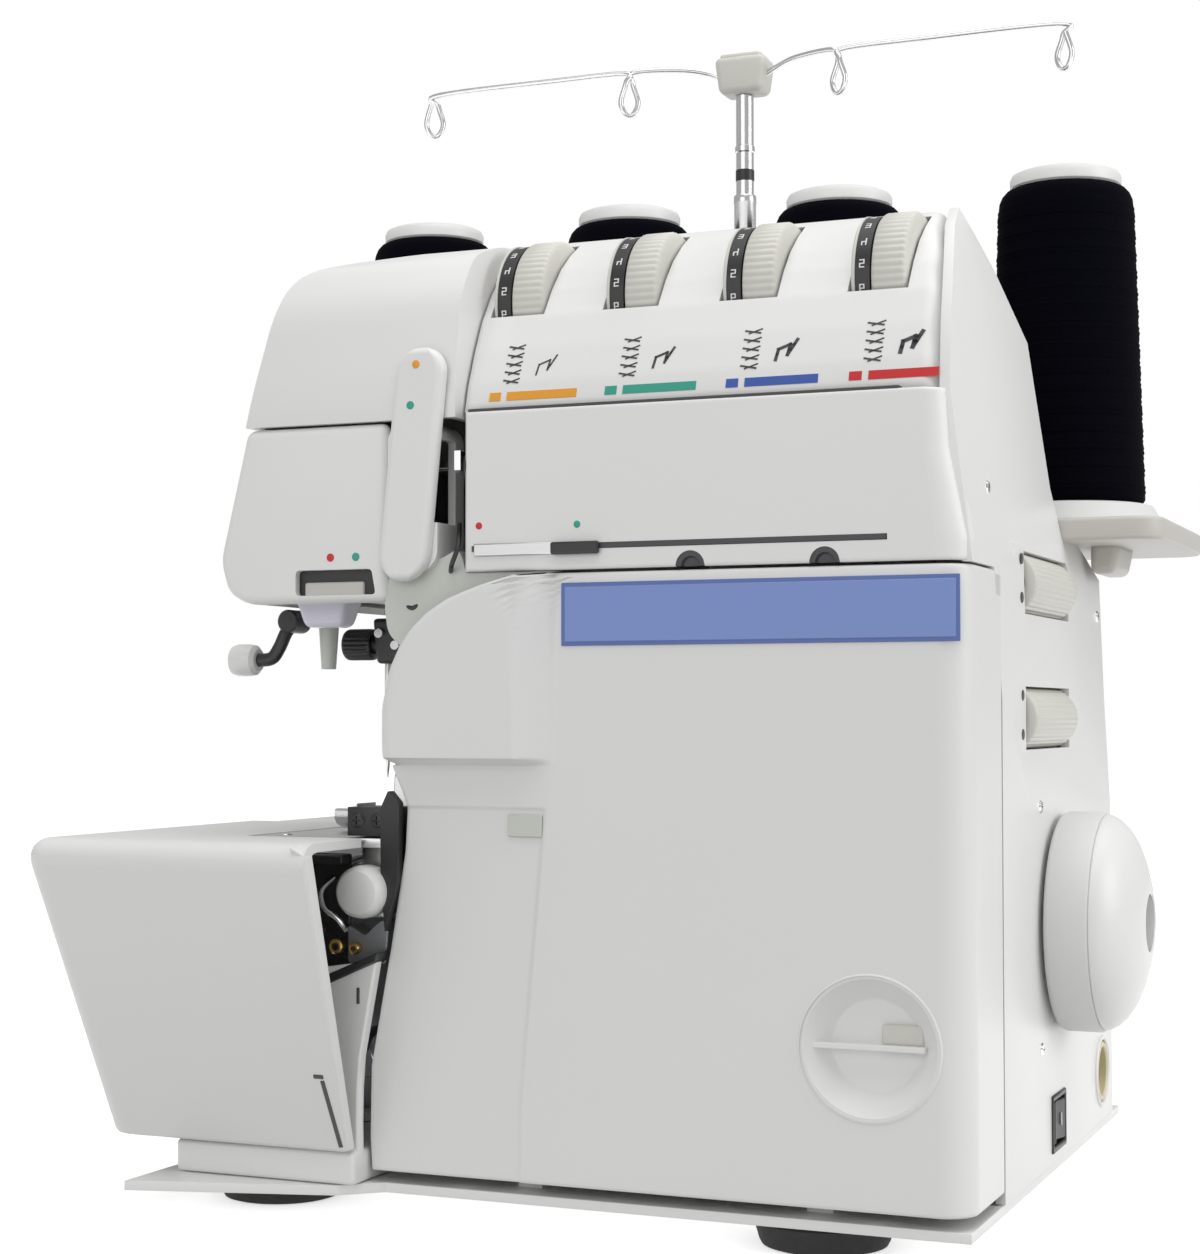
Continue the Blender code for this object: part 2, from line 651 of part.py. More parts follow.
def make_rollers():
    """The differential feed dial and the stitch length dial, on the right side."""
    for name, z in (("feed_dial", FEED_ROLLER_Z), ("length_dial", LENGTH_ROLLER_Z)):
        roller = rod(name, (ROLLER_X, -36, z), (ROLLER_X, 40, z), ROLLER_R, "grey", sides=28)
        axle = rod(f"{name}_axle", (ROLLER_X, -45, z), (ROLLER_X, 49, z), 2.0, sides=16)
        join(roller, axle)
        hang_on(f"{name}_axis", (ROLLER_X, 2, z), roller)


# ---------------------------------------------------------------- sewing pieces


def make_cloth_plate():
    """The left-hand box that swings away from the loopers."""
    low, high = (-161, -HALF_DEPTH, 22.3), (-58, -12, BED_TOP)
    plate = hexahedron("cloth_plate", low, high, "shell", (-145, -58, -112, -12))
    low, high = (-157.5, -137, 12), (-30, 0, BED_TOP - WALL)
    inside = hexahedron("plate_inside", low, high, None, (-140.3, -30, -105.7, 0))
    cut(plate, inside)
    cut(plate, hexahedron("plate_notch", (-99.2, -103, 100), (-30, 10, 130)))
    cut(plate, hexahedron("plate_back", (-175, -27, 5), (-100, 10, 96)))
    knuckle = rod(
        "plate_knuckle", (PLATE_AXIS_X, PLATE_AXIS_Y, 96), (PLATE_AXIS_X, PLATE_AXIS_Y, 115), 4.5
    )
    join(plate, knuckle)
    bore = rod("knuckle_bore", (PLATE_AXIS_X, PLATE_AXIS_Y, 90), (PLATE_AXIS_X, PLATE_AXIS_Y, 110), 2.3)
    cut(plate, bore)
    hang_on("cloth_plate_axis", (PLATE_AXIS_X, PLATE_AXIS_Y, 100), plate)


def make_needle_plate():
    """The steel plate over the loopers, with the knife knob's lug."""
    plate = hexahedron("needle_plate", (-97.5, -101, 114), (-50, -12, BED_TOP), "steel")
    join(plate, hexahedron("knob_lug", (-62, -95, 92), (-54, -88, 115)))
    join(plate, rod("knob_pin", (-58, -90, 100.5), (-58, -103, 100.5), 2, sides=16))
    cut(plate, hexahedron("needle_slot", (-81, -54, 110), (-67, -47, 120)))
    cut(plate, hexahedron("feed_slot", (-82, -45.5, 110), (-66, -27, 120)))
    hexahedron("lower_knife", (-52.6, -64, 96), (-50.6, -56, 113.7), "steel")
    dogs = hexahedron("feed_dogs", (-80, -43.5, 106), (-68, -29.5, BED_TOP + 0.2), "steel")
    hang_on("feed_axis", (-74, -36.5, 110), dogs)


def make_needle_bar():
    bar = rod("needle_bar", (NEEDLE_X, NEEDLE_Y, 187.3), (NEEDLE_X, NEEDLE_Y, 252), 3.5, "steel")
    clamp = hexahedron("needle_clamp", (-80, -56, 172), (-68, -44.8, 187), "black")
    rounded(clamp, 1.5, 1)
    join(clamp, rod("clamp_screw", (-93, NEEDLE_Y, 178.5), (-79, NEEDLE_Y, 178.5), 5.3))
    for i, x in enumerate((-77, -71)):
        shank = rod(f"needle_{i}", (x, NEEDLE_Y, 138), (x, NEEDLE_Y, 173), 0.8, sides=10)
        tip = rod(f"tip_{i}", (x, NEEDLE_Y, 134), (x, NEEDLE_Y, 138.2), 0.1, None, 0.82, 10)
        join(clamp, shank, tip)
    hang_on("needle_bar_axis", (NEEDLE_X, NEEDLE_Y, 187), bar, clamp)


def make_presser():
    bar = rod("presser_bar", (NEEDLE_X, PRESSER_Y, 136.4), (NEEDLE_X, PRESSER_Y, 248), 3.5, "steel")
    foot = hexahedron("presser_foot", (-85, -72, BED_TOP + 0.7), (-63, -27, 121.7), "steel")
    rounded(foot, 1.0, 1)
    join(foot, hexahedron("foot_ankle", (-79, -43.8, 121), (-69, -32, 136)))
    cut(foot, hexahedron("foot_slot", (-81, -54.5, 110), (-67, -46.5, 130)))
    hang_on("presser_axis", (NEEDLE_X, PRESSER_Y, 136), bar, foot)
    path = [(-100, -72, 185.6), (-102, -74, 182), (-104, -75, 177), (-107, -75, 173.5)]
    lever = wire_mesh("presser_lifter", curve_through(path + [(-113, -75, 173)], 3), 2.2, "black")
    hub = rod("lifter_hub", (-100, -77, 185.6), (-100, -67, 185.6), 3.8)
    knob = rod("lifter_knob", (-111.5, -75, 173), (-121.5, -75, 173), 5.3)
    join(lever, hub, rounded(knob, 1.5, 1))
    hang_on("presser_lifter_axis", (-100, -72, 185.6), lever)
    hexahedron("lamp_lens", (-92, -88, 183), (-72, -74, 193.4), "lens")


def make_loopers():
    """The two loopers and the plate with their pivot pins."""
    base = hexahedron("looper_base", (-104, -35, 32), (-50, -30.3, 104), "cast")
    pivots = {"lower_looper": (-86, -60), "upper_looper": (-64, -70)}
    arms = {
        "lower_looper": [(-86, -60, 50), (-92, -60, 72), (-93, -60, 92), (-86, -60, 106)],
        "upper_looper": [(-64, -70, 50), (-57, -70, 70), (-57, -70, 90), (-62, -70, 104)],
    }
    tips = {"lower_looper": (-74, -60, 109), "upper_looper": (-72, -70, 108)}
    for name, (x, y) in pivots.items():
        join(base, rod(f"{name}_pin", (x, -34, 48), (x, y - 6, 48), 2.5, sides=16))
        hub = rod(f"{name}_hub", (x, y + 4, 48), (x, y - 4, 48), 6.5)
        points = curve_through(arms[name] + [tips[name]], 4)
        looper = wire_mesh(name, points, 2.2, "steel")
        join(looper, hub)
        cut(looper, rod(f"{name}_bore", (x, y + 9, 48), (x, y - 9, 48), 2.8, sides=16))
        hang_on(f"{name}_axis", (x, y, 48), looper)


def make_knives():
    """The upper knife on its arm, and the white knob that retracts it."""
    arm = hexahedron("upper_knife", (-49.4, -98, 94), (-46.8, -62, 126.5), "black")
    join(arm, hexahedron("knife_block", (-64, -101, BED_TOP + 0.6), (-49, -86, 126.5)))
    cut(arm, rod("knife_bore", (-60, -66, 100), (-40, -66, 100), 2.4, sides=16))
    hang_on("upper_knife_axis", (-48, -66, 100), arm)
    knob = rod("knife_knob", (-58, -107, 100.5), (-58, -96, 100.5), 8.2, "shell")
    rounded(knob, 1.5, 1)
    cut(knob, rod("knob_bore", (-58, -103.4, 100.5), (-58, -80, 100.5), 2.3, sides=16))
    hang_on("knife_knob_axis", (-58, -100, 100.5), knob)


def make_take_up_lever():
    outline = [(-99, 236), (-66, 232), (-64, 228), (-66, 224), (-72, 223), (-99, 230)]
    lever = prism("take_up_lever", "X", outline, -28.4, -26.3, "steel")
    cut(lever, rod("lever_bore", (-35, -70, 228), (-20, -70, 228), 2.5, sides=16))
    hang_on("take_up_axis", (-27, -70, 228), lever)


# ---------------------------------------------------------------- thread stand


def spool_centres():
    return [FIRST_SPOOL_X + SPOOL_PITCH * i for i in range(4)]


def make_spool_tray():
    """The tray behind the arm, with four stepped discs and their pins."""
    outline = rounded_rectangle(-HALF_WIDTH, HALF_WIDTH, 40, HALF_DEPTH, 12)
    tray = prism("spool_tray", "Z", outline, STAND_Z, STAND_TOP, "grey")
    join(tray, hexahedron("tray_boss", (133, 68, 204), (152, 112, STAND_Z + 1)))
    for i, x in enumerate(spool_centres()):
        steps = [(0.01, STAND_TOP - 2), (33, STAND_TOP - 2), (33, 225), (29, 225), (29, 229)]
        steps += [(5, 229), (4, 320), (0.01, 320)]
        join(tray, turned(f"spool_disc_{i}", steps[::-1], (x, SPOOL_Y, 0), "Z", steps=20))


def make_cones():
    """Four thread cones, each with a bore that drops over a pin."""
    for number, x in enumerate(spool_centres(), 1):
        profile = [(10, 229.4), (27, 229.4), (26.5, 238), (24, 333), (16.5, 345), (16, 349)]
        profile += [(10, 349)]
        centre = (x, SPOOL_Y, 0)
        smooth(turned(f"thread_cone_{number}", profile[::-1], centre, "Z", "thread", 24))


def eyelet(x, y, z, side):
    """A teardrop loop of wire that hangs below a point."""
    return [
        (x - side * 2.0, y, z),
        (x - side * 0.8, y + 1.6, z - 4),
        (x - side * 2.6, y + 1.6, z - 12),
        (x, y + 0.4, z - 16.5),
        (x + side * 2.6, y - 1.6, z - 12),
        (x + side * 0.8, y - 1.6, z - 4),
        (x + side * 2.0, y, z),
    ]


def make_thread_mast():
    """The telescopic mast and the head with its two guide wires."""
    lower = rod("mast_lower", (MAST_X, MAST_Y, 221.4), (MAST_X, MAST_Y, 330), 5.2, "steel")
    cut(lower, rod("mast_bore", (MAST_X, MAST_Y, 226), (MAST_X, MAST_Y, 340), 4.5))
    upper = rod("mast_upper", (MAST_X, MAST_Y, 264), (MAST_X, MAST_Y, 394.2), 4.2, "steel")
    hang_on("mast_axis", (MAST_X, MAST_Y, 300), upper)
    low, high = (MAST_X - 10.5, 97, HEAD_BLOCK_Z), (MAST_X + 10.5, 113, OVERALL_HEIGHT)
    head = rounded(hexahedron("antenna_head", low, high, "grey"), 2.0, 1)
    spools = spool_centres()
    for side, (inner, outer) in ((-1, (spools[1], spools[0])), (1, (spools[2], spools[3]))):
        knots = [(MAST_X + side * 8, 104, 401), (MAST_X + side * 14, 103, 404)]
        knots += [(MAST_X + side * 24, 97, 405)]
        knots += eyelet(inner, SPOOL_Y, 404, side)
        knots += [(inner + side * 30, SPOOL_Y, 404.4)]
        knots += eyelet(outer, SPOOL_Y, 404, side)[:-1]
        join(head, wire_mesh(f"guide_wire_{side + 1}", knots, 1.0, sides=1))
    hang_on("antenna_axis", (MAST_X, MAST_Y, 400), head)


def main():
    make_feet()
    make_base_tray()
    make_base_left_panel()
    make_machine_frame()
    make_right_side_cover()
    make_rear_cover()
    make_column_cover()
    make_bed_rear_cover()
    make_upper_casing()
    make_dial_panel()
    make_arm_front_panel()
    make_head()
    make_arm_underside()
    make_takeup_cover()
    make_front_cover()
    make_main_shaft()
    make_motor()
    make_power_pieces()
    make_tension_dials()
    make_rollers()
    make_cloth_plate()
    make_needle_plate()
    make_needle_bar()
    make_presser()
    make_loopers()
    make_knives()
    make_take_up_lever()
    make_spool_tray()
    make_cones()
    make_thread_mast()


main()
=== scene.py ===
"""The serger's finished surfaces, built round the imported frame.

Sizes are in millimetres in the frame's own axes and are scaled once, by MM.
"""

import math

import bmesh
import bpy
from mathutils import Matrix, Vector


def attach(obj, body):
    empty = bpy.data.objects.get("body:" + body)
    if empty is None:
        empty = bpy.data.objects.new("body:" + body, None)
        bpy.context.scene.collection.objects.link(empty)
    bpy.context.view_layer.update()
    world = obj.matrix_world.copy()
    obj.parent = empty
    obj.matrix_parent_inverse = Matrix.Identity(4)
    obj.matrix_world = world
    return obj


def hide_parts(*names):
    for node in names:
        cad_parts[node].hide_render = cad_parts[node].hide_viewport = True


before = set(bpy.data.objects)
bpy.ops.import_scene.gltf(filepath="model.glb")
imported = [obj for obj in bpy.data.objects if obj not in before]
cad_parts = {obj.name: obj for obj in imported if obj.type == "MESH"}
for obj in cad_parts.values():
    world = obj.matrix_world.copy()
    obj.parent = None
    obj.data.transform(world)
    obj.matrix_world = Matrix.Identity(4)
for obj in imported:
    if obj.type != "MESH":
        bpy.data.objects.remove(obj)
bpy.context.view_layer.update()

MM = 0.001
FRONT_Y = -100.0
SIDE_X = 131.7
CORNER = 10.0  # radius of the casing's front right edge
WALL = 2.6
COVER_TOP = 197.6
PANEL_TOP = 248.0
BED_TOP = 117.0
DIAL_CENTRES_X = (-15.0, 23.0, 61.0, 101.0)
DIAL_Y, DIAL_Z, DIAL_R, DIAL_WIDTH = -60.0, 284.0, 22.0, 17.0
SPOOL_Y = 90.0
SPOOL_XS = [-131.0 + 84.4 * i for i in range(4)]
MAST_X, MAST_Y = -4.5, 105.0
ROLLER_X, ROLLER_R = 125.2, 10.0
RECESS_X, RECESS_Z = 102.7, 61.0
WHEEL_X, WHEEL_Y, WHEEL_Z, WHEEL_R = 132.8, 24.0, 88.0, 35.5
PLATE_LOW, PLATE_LEAN = 22.3, 29.0  # the cloth plate's foot, and how far its front leans out
STRIP_R = 21.2  # radius of a dial's number strip
HINGE_Y, HINGE_Z = -93.4, 19.5


# ---- camera and stage


def make_camera():
    """The view from the front right, at the height of the work space, looking up a little."""
    data = bpy.data.cameras.new("camera")
    data.lens = 66.0
    data.sensor_width = 36.0
    data.sensor_fit = "AUTO"
    data.clip_end = 20
    camera = bpy.data.objects.new("camera", data)
    bpy.context.scene.collection.objects.link(camera)
    camera.location = Vector((284, -730, 155)) * MM
    camera.rotation_euler = (math.radians(90 + 2.19), 0, math.radians(22.7))
    bpy.context.scene.camera = camera


def add_light(name, place, target, size, power):
    data = bpy.data.lights.new(name, "AREA")
    data.shape = "RECTANGLE"
    data.size, data.size_y = size
    data.energy = power
    lamp = bpy.data.objects.new(name, data)
    bpy.context.scene.collection.objects.link(lamp)
    lamp.location = place
    aim = Vector(target) - Vector(place)
    lamp.rotation_euler = aim.to_track_quat("-Z", "Y").to_euler()


def make_stage():
    """A pale floor, and soft light from above, from the right and from the front."""
    mesh = bpy.data.meshes.new("floor")
    reach = 6.0
    corners = [(-reach, -reach, 0), (reach, -reach, 0), (reach, reach, 0), (-reach, reach, 0)]
    mesh.from_pydata(corners, [], [(0, 1, 2, 3)])
    floor = bpy.data.objects.new("floor", mesh)
    bpy.context.scene.collection.objects.link(floor)
    paint = bpy.data.materials.new("floor_paint")
    paint.use_nodes = True
    shader = paint.node_tree.nodes["Principled BSDF"]
    shader.inputs["Base Color"].default_value = (0.93, 0.93, 0.93, 1)
    shader.inputs["Roughness"].default_value = 0.9
    shader.inputs["Emission Color"].default_value = (1, 1, 1, 1)
    shader.inputs["Emission Strength"].default_value = 0.6
    mesh.materials.append(paint)
    floor.visible_diffuse = False

    world = bpy.data.worlds.new("world")
    bpy.context.scene.world = world
    world.use_nodes = True
    sky = world.node_tree.nodes["Background"]
    sky.inputs["Color"].default_value = (1, 1, 1, 1)
    backdrop = world.node_tree.nodes.new("ShaderNodeLightPath")
    level = world.node_tree.nodes.new("ShaderNodeMapRange")
    level.inputs["To Min"].default_value = 0.52
    level.inputs["To Max"].default_value = 1.0
    world.node_tree.links.new(backdrop.outputs["Is Camera Ray"], level.inputs["Value"])
    world.node_tree.links.new(level.outputs["Result"], sky.inputs["Strength"])
    middle = (0, 0, 0.2)
    add_light("top", (0.3, -0.1, 2.0), middle, (2.6, 2.0), 24)
    add_light("right", (2.2, 0.1, 0.9), middle, (1.2, 1.2), 17)
    add_light("front", (-0.3, -2.0, 0.8), middle, (1.6, 1.0), 7)


make_camera()
make_stage()


# ---- materials


def start_material(name):
    """A node material: the material, its tree, its shader and its object coordinates."""
    made = bpy.data.materials.new(name)
    made.use_nodes = True
    tree = made.node_tree
    place = tree.nodes.new("ShaderNodeTexCoord").outputs["Object"]
    return made, tree, tree.nodes["Principled BSDF"], place


def node_of(tree, kind, inputs, links=(), **settings):
    """A node with its settings, its input values and its linked inputs."""
    made = tree.nodes.new(f"ShaderNode{kind}")
    for key, value in settings.items():
        setattr(made, key, value)
    for key, value in inputs.items():
        made.inputs[key].default_value = value
    for key, source in dict(links).items():
        tree.links.new(source, made.inputs[key])
    return made


def surface(tree, shader, factor, colours, rough_by, rough, height, relief):
    """Links colour, roughness and relief. rough is a range, relief a strength and a distance."""
    ends = {"A": (*colours[0], 1), "B": (*colours[1], 1)}
    mix = node_of(tree, "Mix", ends, {"Factor": factor}, data_type="RGBA")
    tree.links.new(mix.outputs["Result"], shader.inputs["Base Color"])
    if rough_by:
        span = {"To Min": rough[0], "To Max": rough[1]}
        level = node_of(tree, "MapRange", span, {"Value": rough_by})
        tree.links.new(level.outputs["Result"], shader.inputs["Roughness"])
    bump = node_of(tree, "Bump", dict(zip(("Strength", "Distance"), relief)), {"Height": height})
    tree.links.new(bump.outputs["Normal"], shader.inputs["Normal"])


def plastic(name, colour, roughness=0.4, grain=0.02, bump=0.02, tint=0.03, scale=900.0):
    """Moulded plastic: a fine spark texture, slow colour drift and slight handling marks."""
    made, tree, shader, place = start_material(name)
    here = {"Vector": place}
    drift = node_of(tree, "TexNoise", {"Scale": 9.0, "Detail": 3.0}, here).outputs["Fac"]
    fine = node_of(tree, "TexNoise", {"Scale": scale, "Detail": 2.0}, here).outputs["Fac"]
    dark = [c * (1 - tint) for c in colour]
    rough = (roughness - grain * 2, roughness + grain * 2)
    surface(tree, shader, drift, (dark, colour), fine, rough, fine, (bump * 5, 0.00005))
    return made


def metal(name, colour, roughness=0.25, streak=(1, 1, 1), scale=400.0, bump=0.1):
    """Metal with directional polishing marks, or sand-cast grain when streak is even."""
    made, tree, shader, place = start_material(name)
    shader.inputs["Metallic"].default_value = 1.0
    stretch = node_of(tree, "Mapping", {"Scale": streak}, {"Vector": place}).outputs["Vector"]
    grain = node_of(tree, "TexNoise", {"Scale": scale, "Detail": 4.0}, {"Vector": stretch})
    grain = grain.outputs["Fac"]
    dark = [c * 0.85 for c in colour]
    rough = (roughness * 0.7, roughness * 1.4)
    surface(tree, shader, grain, (dark, colour), grain, rough, grain, (bump, 0.0001))
    return made


def wound_thread(name, colour):
    """Cross-wound thread: two crossing sets of fine helical lines, quite dull."""
    made, tree, shader, place = start_material(name)
    waves = {"Scale": 420.0, "Distortion": 1.5, "Detail": 2.0, "Detail Scale": 3.0}
    bands = {}
    for i, slope in enumerate((0.35, -0.35)):
        turn = node_of(tree, "Mapping", {"Rotation": (0, slope, 0)}, {"Vector": place})
        turned_to = {"Vector": turn.outputs["Vector"]}
        wave = node_of(tree, "TexWave", waves, turned_to, bands_direction="Z")
        bands[i] = wave.outputs["Fac"]
    both = node_of(tree, "Math", {}, bands, operation="MAXIMUM").outputs["Value"]
    shader.inputs["Roughness"].default_value = 0.85
    shader.inputs["Specular IOR Level"].default_value = 0.04
    dark = [c * 0.45 for c in colour]
    surface(tree, shader, both, (dark, colour), None, None, both, (0.5, 0.0002))
    return made


FINISH = {
    "shell": plastic("white_plastic", (0.82, 0.82, 0.81), 0.38),
    # cover: the white shell plastic made darker, painted shade for the front cover and the cloth plate
    "cover": plastic("cover_plastic_painted_shade", (0.79, 0.79, 0.78), 0.38),
    # satin: the spool discs' own grey, and painted shade on the handwheel's white rim
    "satin": plastic("satin_plastic_and_painted_shade", (0.74, 0.74, 0.73), 0.5),
    # shade: the white plastic darkened and tinted green, painted shade for faces under the arm and in
    # slots and hollows
    "shade": plastic("painted_shade_plastic", (0.62, 0.64, 0.59), 0.5, 0.03),
    "grey": plastic("warm_grey_plastic", (0.66, 0.65, 0.6), 0.45, 0.03),
    # tray: the grey plastic made darker, painted shade for the tray's faces seen from below; the face
    # window's lip takes it too
    "tray": plastic("tray_plastic_painted_shade", (0.58, 0.56, 0.52), 0.45, 0.03),
    "blue": plastic("blue_panel", (0.2, 0.29, 0.62), 0.4),
    "blue_rim": plastic("blue_rim", (0.1, 0.16, 0.42), 0.4),
    # black: black parts, and the painted shadow under the needle plate
    "black": plastic("black_plastic_and_painted_shadow", (0.018, 0.018, 0.02), 0.4, 0.05, 0.04),
    "rubber": plastic("black_rubber", (0.02, 0.02, 0.02), 0.8, 0.04, 0.12, 0.2, 300.0),
    "cream": plastic("cream_plastic", (0.72, 0.66, 0.45), 0.45),
    "lens": plastic("lamp_lens", (0.8, 0.78, 0.9), 0.2),
    "knob": plastic("milky_knob", (0.8, 0.8, 0.78), 0.25),
    "orange": plastic("orange_mark", (0.83, 0.36, 0.02), 0.45),
    "teal": plastic("teal_mark", (0.03, 0.36, 0.26), 0.45),
    "bar_blue": plastic("blue_mark", (0.035, 0.1, 0.42), 0.45),
    "red": plastic("red_mark", (0.62, 0.015, 0.02), 0.45),
    # ink: printed marks and dark joints, and painted shade in the arm panel's notch seats
    "ink": plastic("grey_ink_and_painted_shade", (0.05, 0.05, 0.055), 0.5),
    "dark_grey": plastic("dark_grey_plastic", (0.26, 0.26, 0.26), 0.45, 0.03),
    "steel": metal("polished_steel", (0.72, 0.72, 0.73), 0.2, (1, 1, 0.05)),
    "brushed": metal("brushed_steel", (0.62, 0.62, 0.62), 0.32, (0.05, 1, 1)),
    "cast": metal("cast_metal", (0.32, 0.33, 0.34), 0.55, (1, 1, 1), 700.0, 0.4),
    "brass": metal("brass", (0.72, 0.5, 0.18), 0.3),
    "thread": wound_thread("navy_thread", (0.0012, 0.0013, 0.004)),
}


SLOTS = {  # the slot of each finish whose slot has another name
    "shade": "shell_shade",
    "brass": "steel",
    "ink": "black",
    "red": "shell",
    "teal": "shell",
    "orange": "shell",
    "bar_blue": "shell",
    "brushed": "steel",
    "tray": "grey",
    "blue_rim": "blue",
    "cover": "shell",
    "dark_grey": "grey",
    "knob": "black",
    "satin": "grey",
}


# ---- shape helpers


def paint(mesh, finish):
    mesh.materials.clear()
    mesh.materials.append(FINISH[finish])


def own(obj, finish, body="root", replaces=(), slot=None):
    """Gives a piece its finish, the body it rides on and the nodes it replaces; its slot is worked out
    but not kept.
    """
    paint(obj.data, finish)
    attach(obj, body)
    if replaces:
        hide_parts(*replaces)
    slot or SLOTS.get(finish, finish)
    return obj


def add(name, mesh, *look):
    """Links a mesh in millimetres; look is own()'s finish, body and replaced nodes."""
    mesh.transform(Matrix.Scale(MM, 4))
    made = bpy.data.objects.new(name, mesh)
    bpy.context.scene.collection.objects.link(made)
    return own(made, *look) if look else made


def cage_to_mesh(cage, mesh, outward=False):
    """Writes a working mesh back and frees it, with its faces turned outward on demand."""
    if outward:
        bmesh.ops.recalc_face_normals(cage, faces=cage.faces)
    cage.to_mesh(mesh)
    cage.free()
    return mesh


def smooth(obj, degrees=35):
    obj.data.shade_smooth()
    obj.data.set_sharp_from_angle(angle=math.radians(degrees))
    return obj


def rounded(obj, width, segments=3, degrees=30):
    bevel = obj.modifiers.new("rounding", "BEVEL")
    bevel.width = width * MM
    bevel.segments = segments
    bevel.limit_method = "ANGLE"
    bevel.angle_limit = math.radians(degrees)
    bevel.harden_normals = False
    return smooth(obj, 50)


def baked(obj):
    """Applies the modifiers, so that the piece is its final mesh."""
    graph = bpy.context.evaluated_depsgraph_get()
    graph.update()
    mesh = bpy.data.meshes.new_from_object(obj.evaluated_get(graph))
    obj.modifiers.clear()
    obj.data = mesh
    return obj


def apply_boolean(obj, others, operation):
    """Cuts or joins helper meshes at once, and removes the helpers."""
    for other in others:
        step = obj.modifiers.new(operation.lower(), "BOOLEAN")
        step.operation = operation
        step.object = other
        step.solver = "EXACT"
    baked(obj)
    for other in others:
        bpy.data.objects.remove(other)
    return obj


def cut(obj, *others):
    return apply_boolean(obj, others, "DIFFERENCE")


def block(name, low, high, *look, low_end=None, edge=None):
    """A box, with its own bottom rectangle (x0, x1, y0, y1) where the walls slope.

    edge is the rounding's width, and its segments.
    """
    mesh = bpy.data.meshes.new(name)
    cage = bmesh.new()
    bmesh.ops.create_cube(cage, size=1.0)
    for vert in cage.verts:
        upper = vert.co.z > 0
        x0, x1, y0, y1 = low[0], high[0], low[1], high[1]
        if low_end and not upper:
            x0, x1, y0, y1 = low_end
        vert.co.x = x1 if vert.co.x > 0 else x0
        vert.co.y = y1 if vert.co.y > 0 else y0
        vert.co.z = high[2] if upper else low[2]
    made = add(name, cage_to_mesh(cage, mesh), *look)
    return rounded(made, *edge) if edge else made


def rod(name, start, end, radius, *look, tip=None, sides=40):
    start, end = Vector(start), Vector(end)
    along = end - start
    mesh = bpy.data.meshes.new(name)
    cage = bmesh.new()
    far = radius if tip is None else tip
    bmesh.ops.create_cone(
        cage, cap_ends=True, segments=sides, radius1=radius, radius2=far, depth=along.length
    )
    turn = along.to_track_quat("Z", "Y").to_matrix().to_4x4()
    cage.transform(Matrix.Translation((start + end) / 2) @ turn)
    return smooth(add(name, cage_to_mesh(cage, mesh), *look))


PLANES = {  # outline's first axis, second axis, and the extrusion's axis
    "X": Matrix(((0, 0, 1), (1, 0, 0), (0, 1, 0))),
    "Y": Matrix(((1, 0, 0), (0, 0, -1), (0, 1, 0))),
    "Z": Matrix(((1, 0, 0), (0, 1, 0), (0, 0, 1))),
}


def prism(name, axis, outline, start, end, *look, edge=None):
    """Extrudes an outline along axis: (y, z) points for X, (x, z) for Y, (x, y) for Z."""
    mesh = bpy.data.meshes.new(name)
    cage = bmesh.new()
    low, high = min(start, end), max(start, end)
    ring = [cage.verts.new((u, v, 0)) for u, v in outline]
    face = cage.faces.new(ring)
    grown = bmesh.ops.extrude_face_region(cage, geom=[face])
    top = [item for item in grown["geom"] if isinstance(item, bmesh.types.BMVert)]
    bmesh.ops.translate(cage, verts=top, vec=(0, 0, high - low))
    shift = {"X": (low, 0, 0), "Y": (0, high, 0), "Z": (0, 0, low)}[axis]
    cage.transform(Matrix.Translation(shift) @ PLANES[axis].to_4x4())
    made = add(name, cage_to_mesh(cage, mesh, True), *look)
    return rounded(made, *edge) if edge else made


def turned(name, profile, centre, axis, *look, steps=96):
    """Turns a profile of (radius, height) points, listed from the bottom up."""
    mesh = bpy.data.meshes.new(name)
    points, faces = [], []
    rows = len(profile)
    for j in range(steps):
        turn = 2 * math.pi * j / steps
        for radius, height in profile:
            points.append((radius * math.cos(turn), radius * math.sin(turn), height))
    for j in range(steps):
        k = (j + 1) % steps
        for i in range(rows):
            n = (i + 1) % rows
            faces.append((j * rows + i, k * rows + i, k * rows + n, j * rows + n))
    mesh.from_pydata(points, [], faces)
    cage = bmesh.new()
    cage.from_mesh(mesh)
    bmesh.ops.remove_doubles(cage, verts=cage.verts, dist=0.0005)
    bmesh.ops.dissolve_degenerate(cage, edges=cage.edges, dist=0.0005)
    turn = {"Z": Matrix(), "X": Matrix.Rotation(math.pi / 2, 4, "Y")}
    turn["Y"] = Matrix.Rotation(math.pi / 2, 4, "X")
    cage.transform(Matrix.Translation(centre) @ turn[axis])
    return smooth(add(name, cage_to_mesh(cage, mesh, True), *look))


def dot(name, centre, axis, size, finish):
    """A printed dot; size is its radius, the radius of its flat top, and its edge's height."""
    outer, inner, rise = size
    profile = [
        (0.01, -0.2), (outer, -0.2), (outer, rise), (inner, rise + 0.15), (0.01, rise + 0.2),
    ]
    turned(name, profile, centre, axis, finish, steps=32)


def even(count):
    """Evenly spaced positions from 0 to 1."""
    return [i / count for i in range(count + 1)]


def skin(name, us, vs, place, *look, thickness=WALL):
    """A curved wall: a grid of points place(u, v), thickened towards its back."""
    mesh = bpy.data.meshes.new(name)
    points = [place(u, v) for u in us for v in vs]
    rows = len(vs)
    faces = []
    for i in range(len(us) - 1):
        for j in range(rows - 1):
            faces.append(
                (i * rows + j, (i + 1) * rows + j, (i + 1) * rows + j + 1, i * rows + j + 1)
            )
    mesh.from_pydata([tuple(p) for p in points], [], faces)
    made = add(name, mesh, *look)
    wall = made.modifiers.new("wall", "SOLIDIFY")
    wall.thickness = thickness * MM
    wall.offset = -1.0
    return smooth(baked(made), 40)


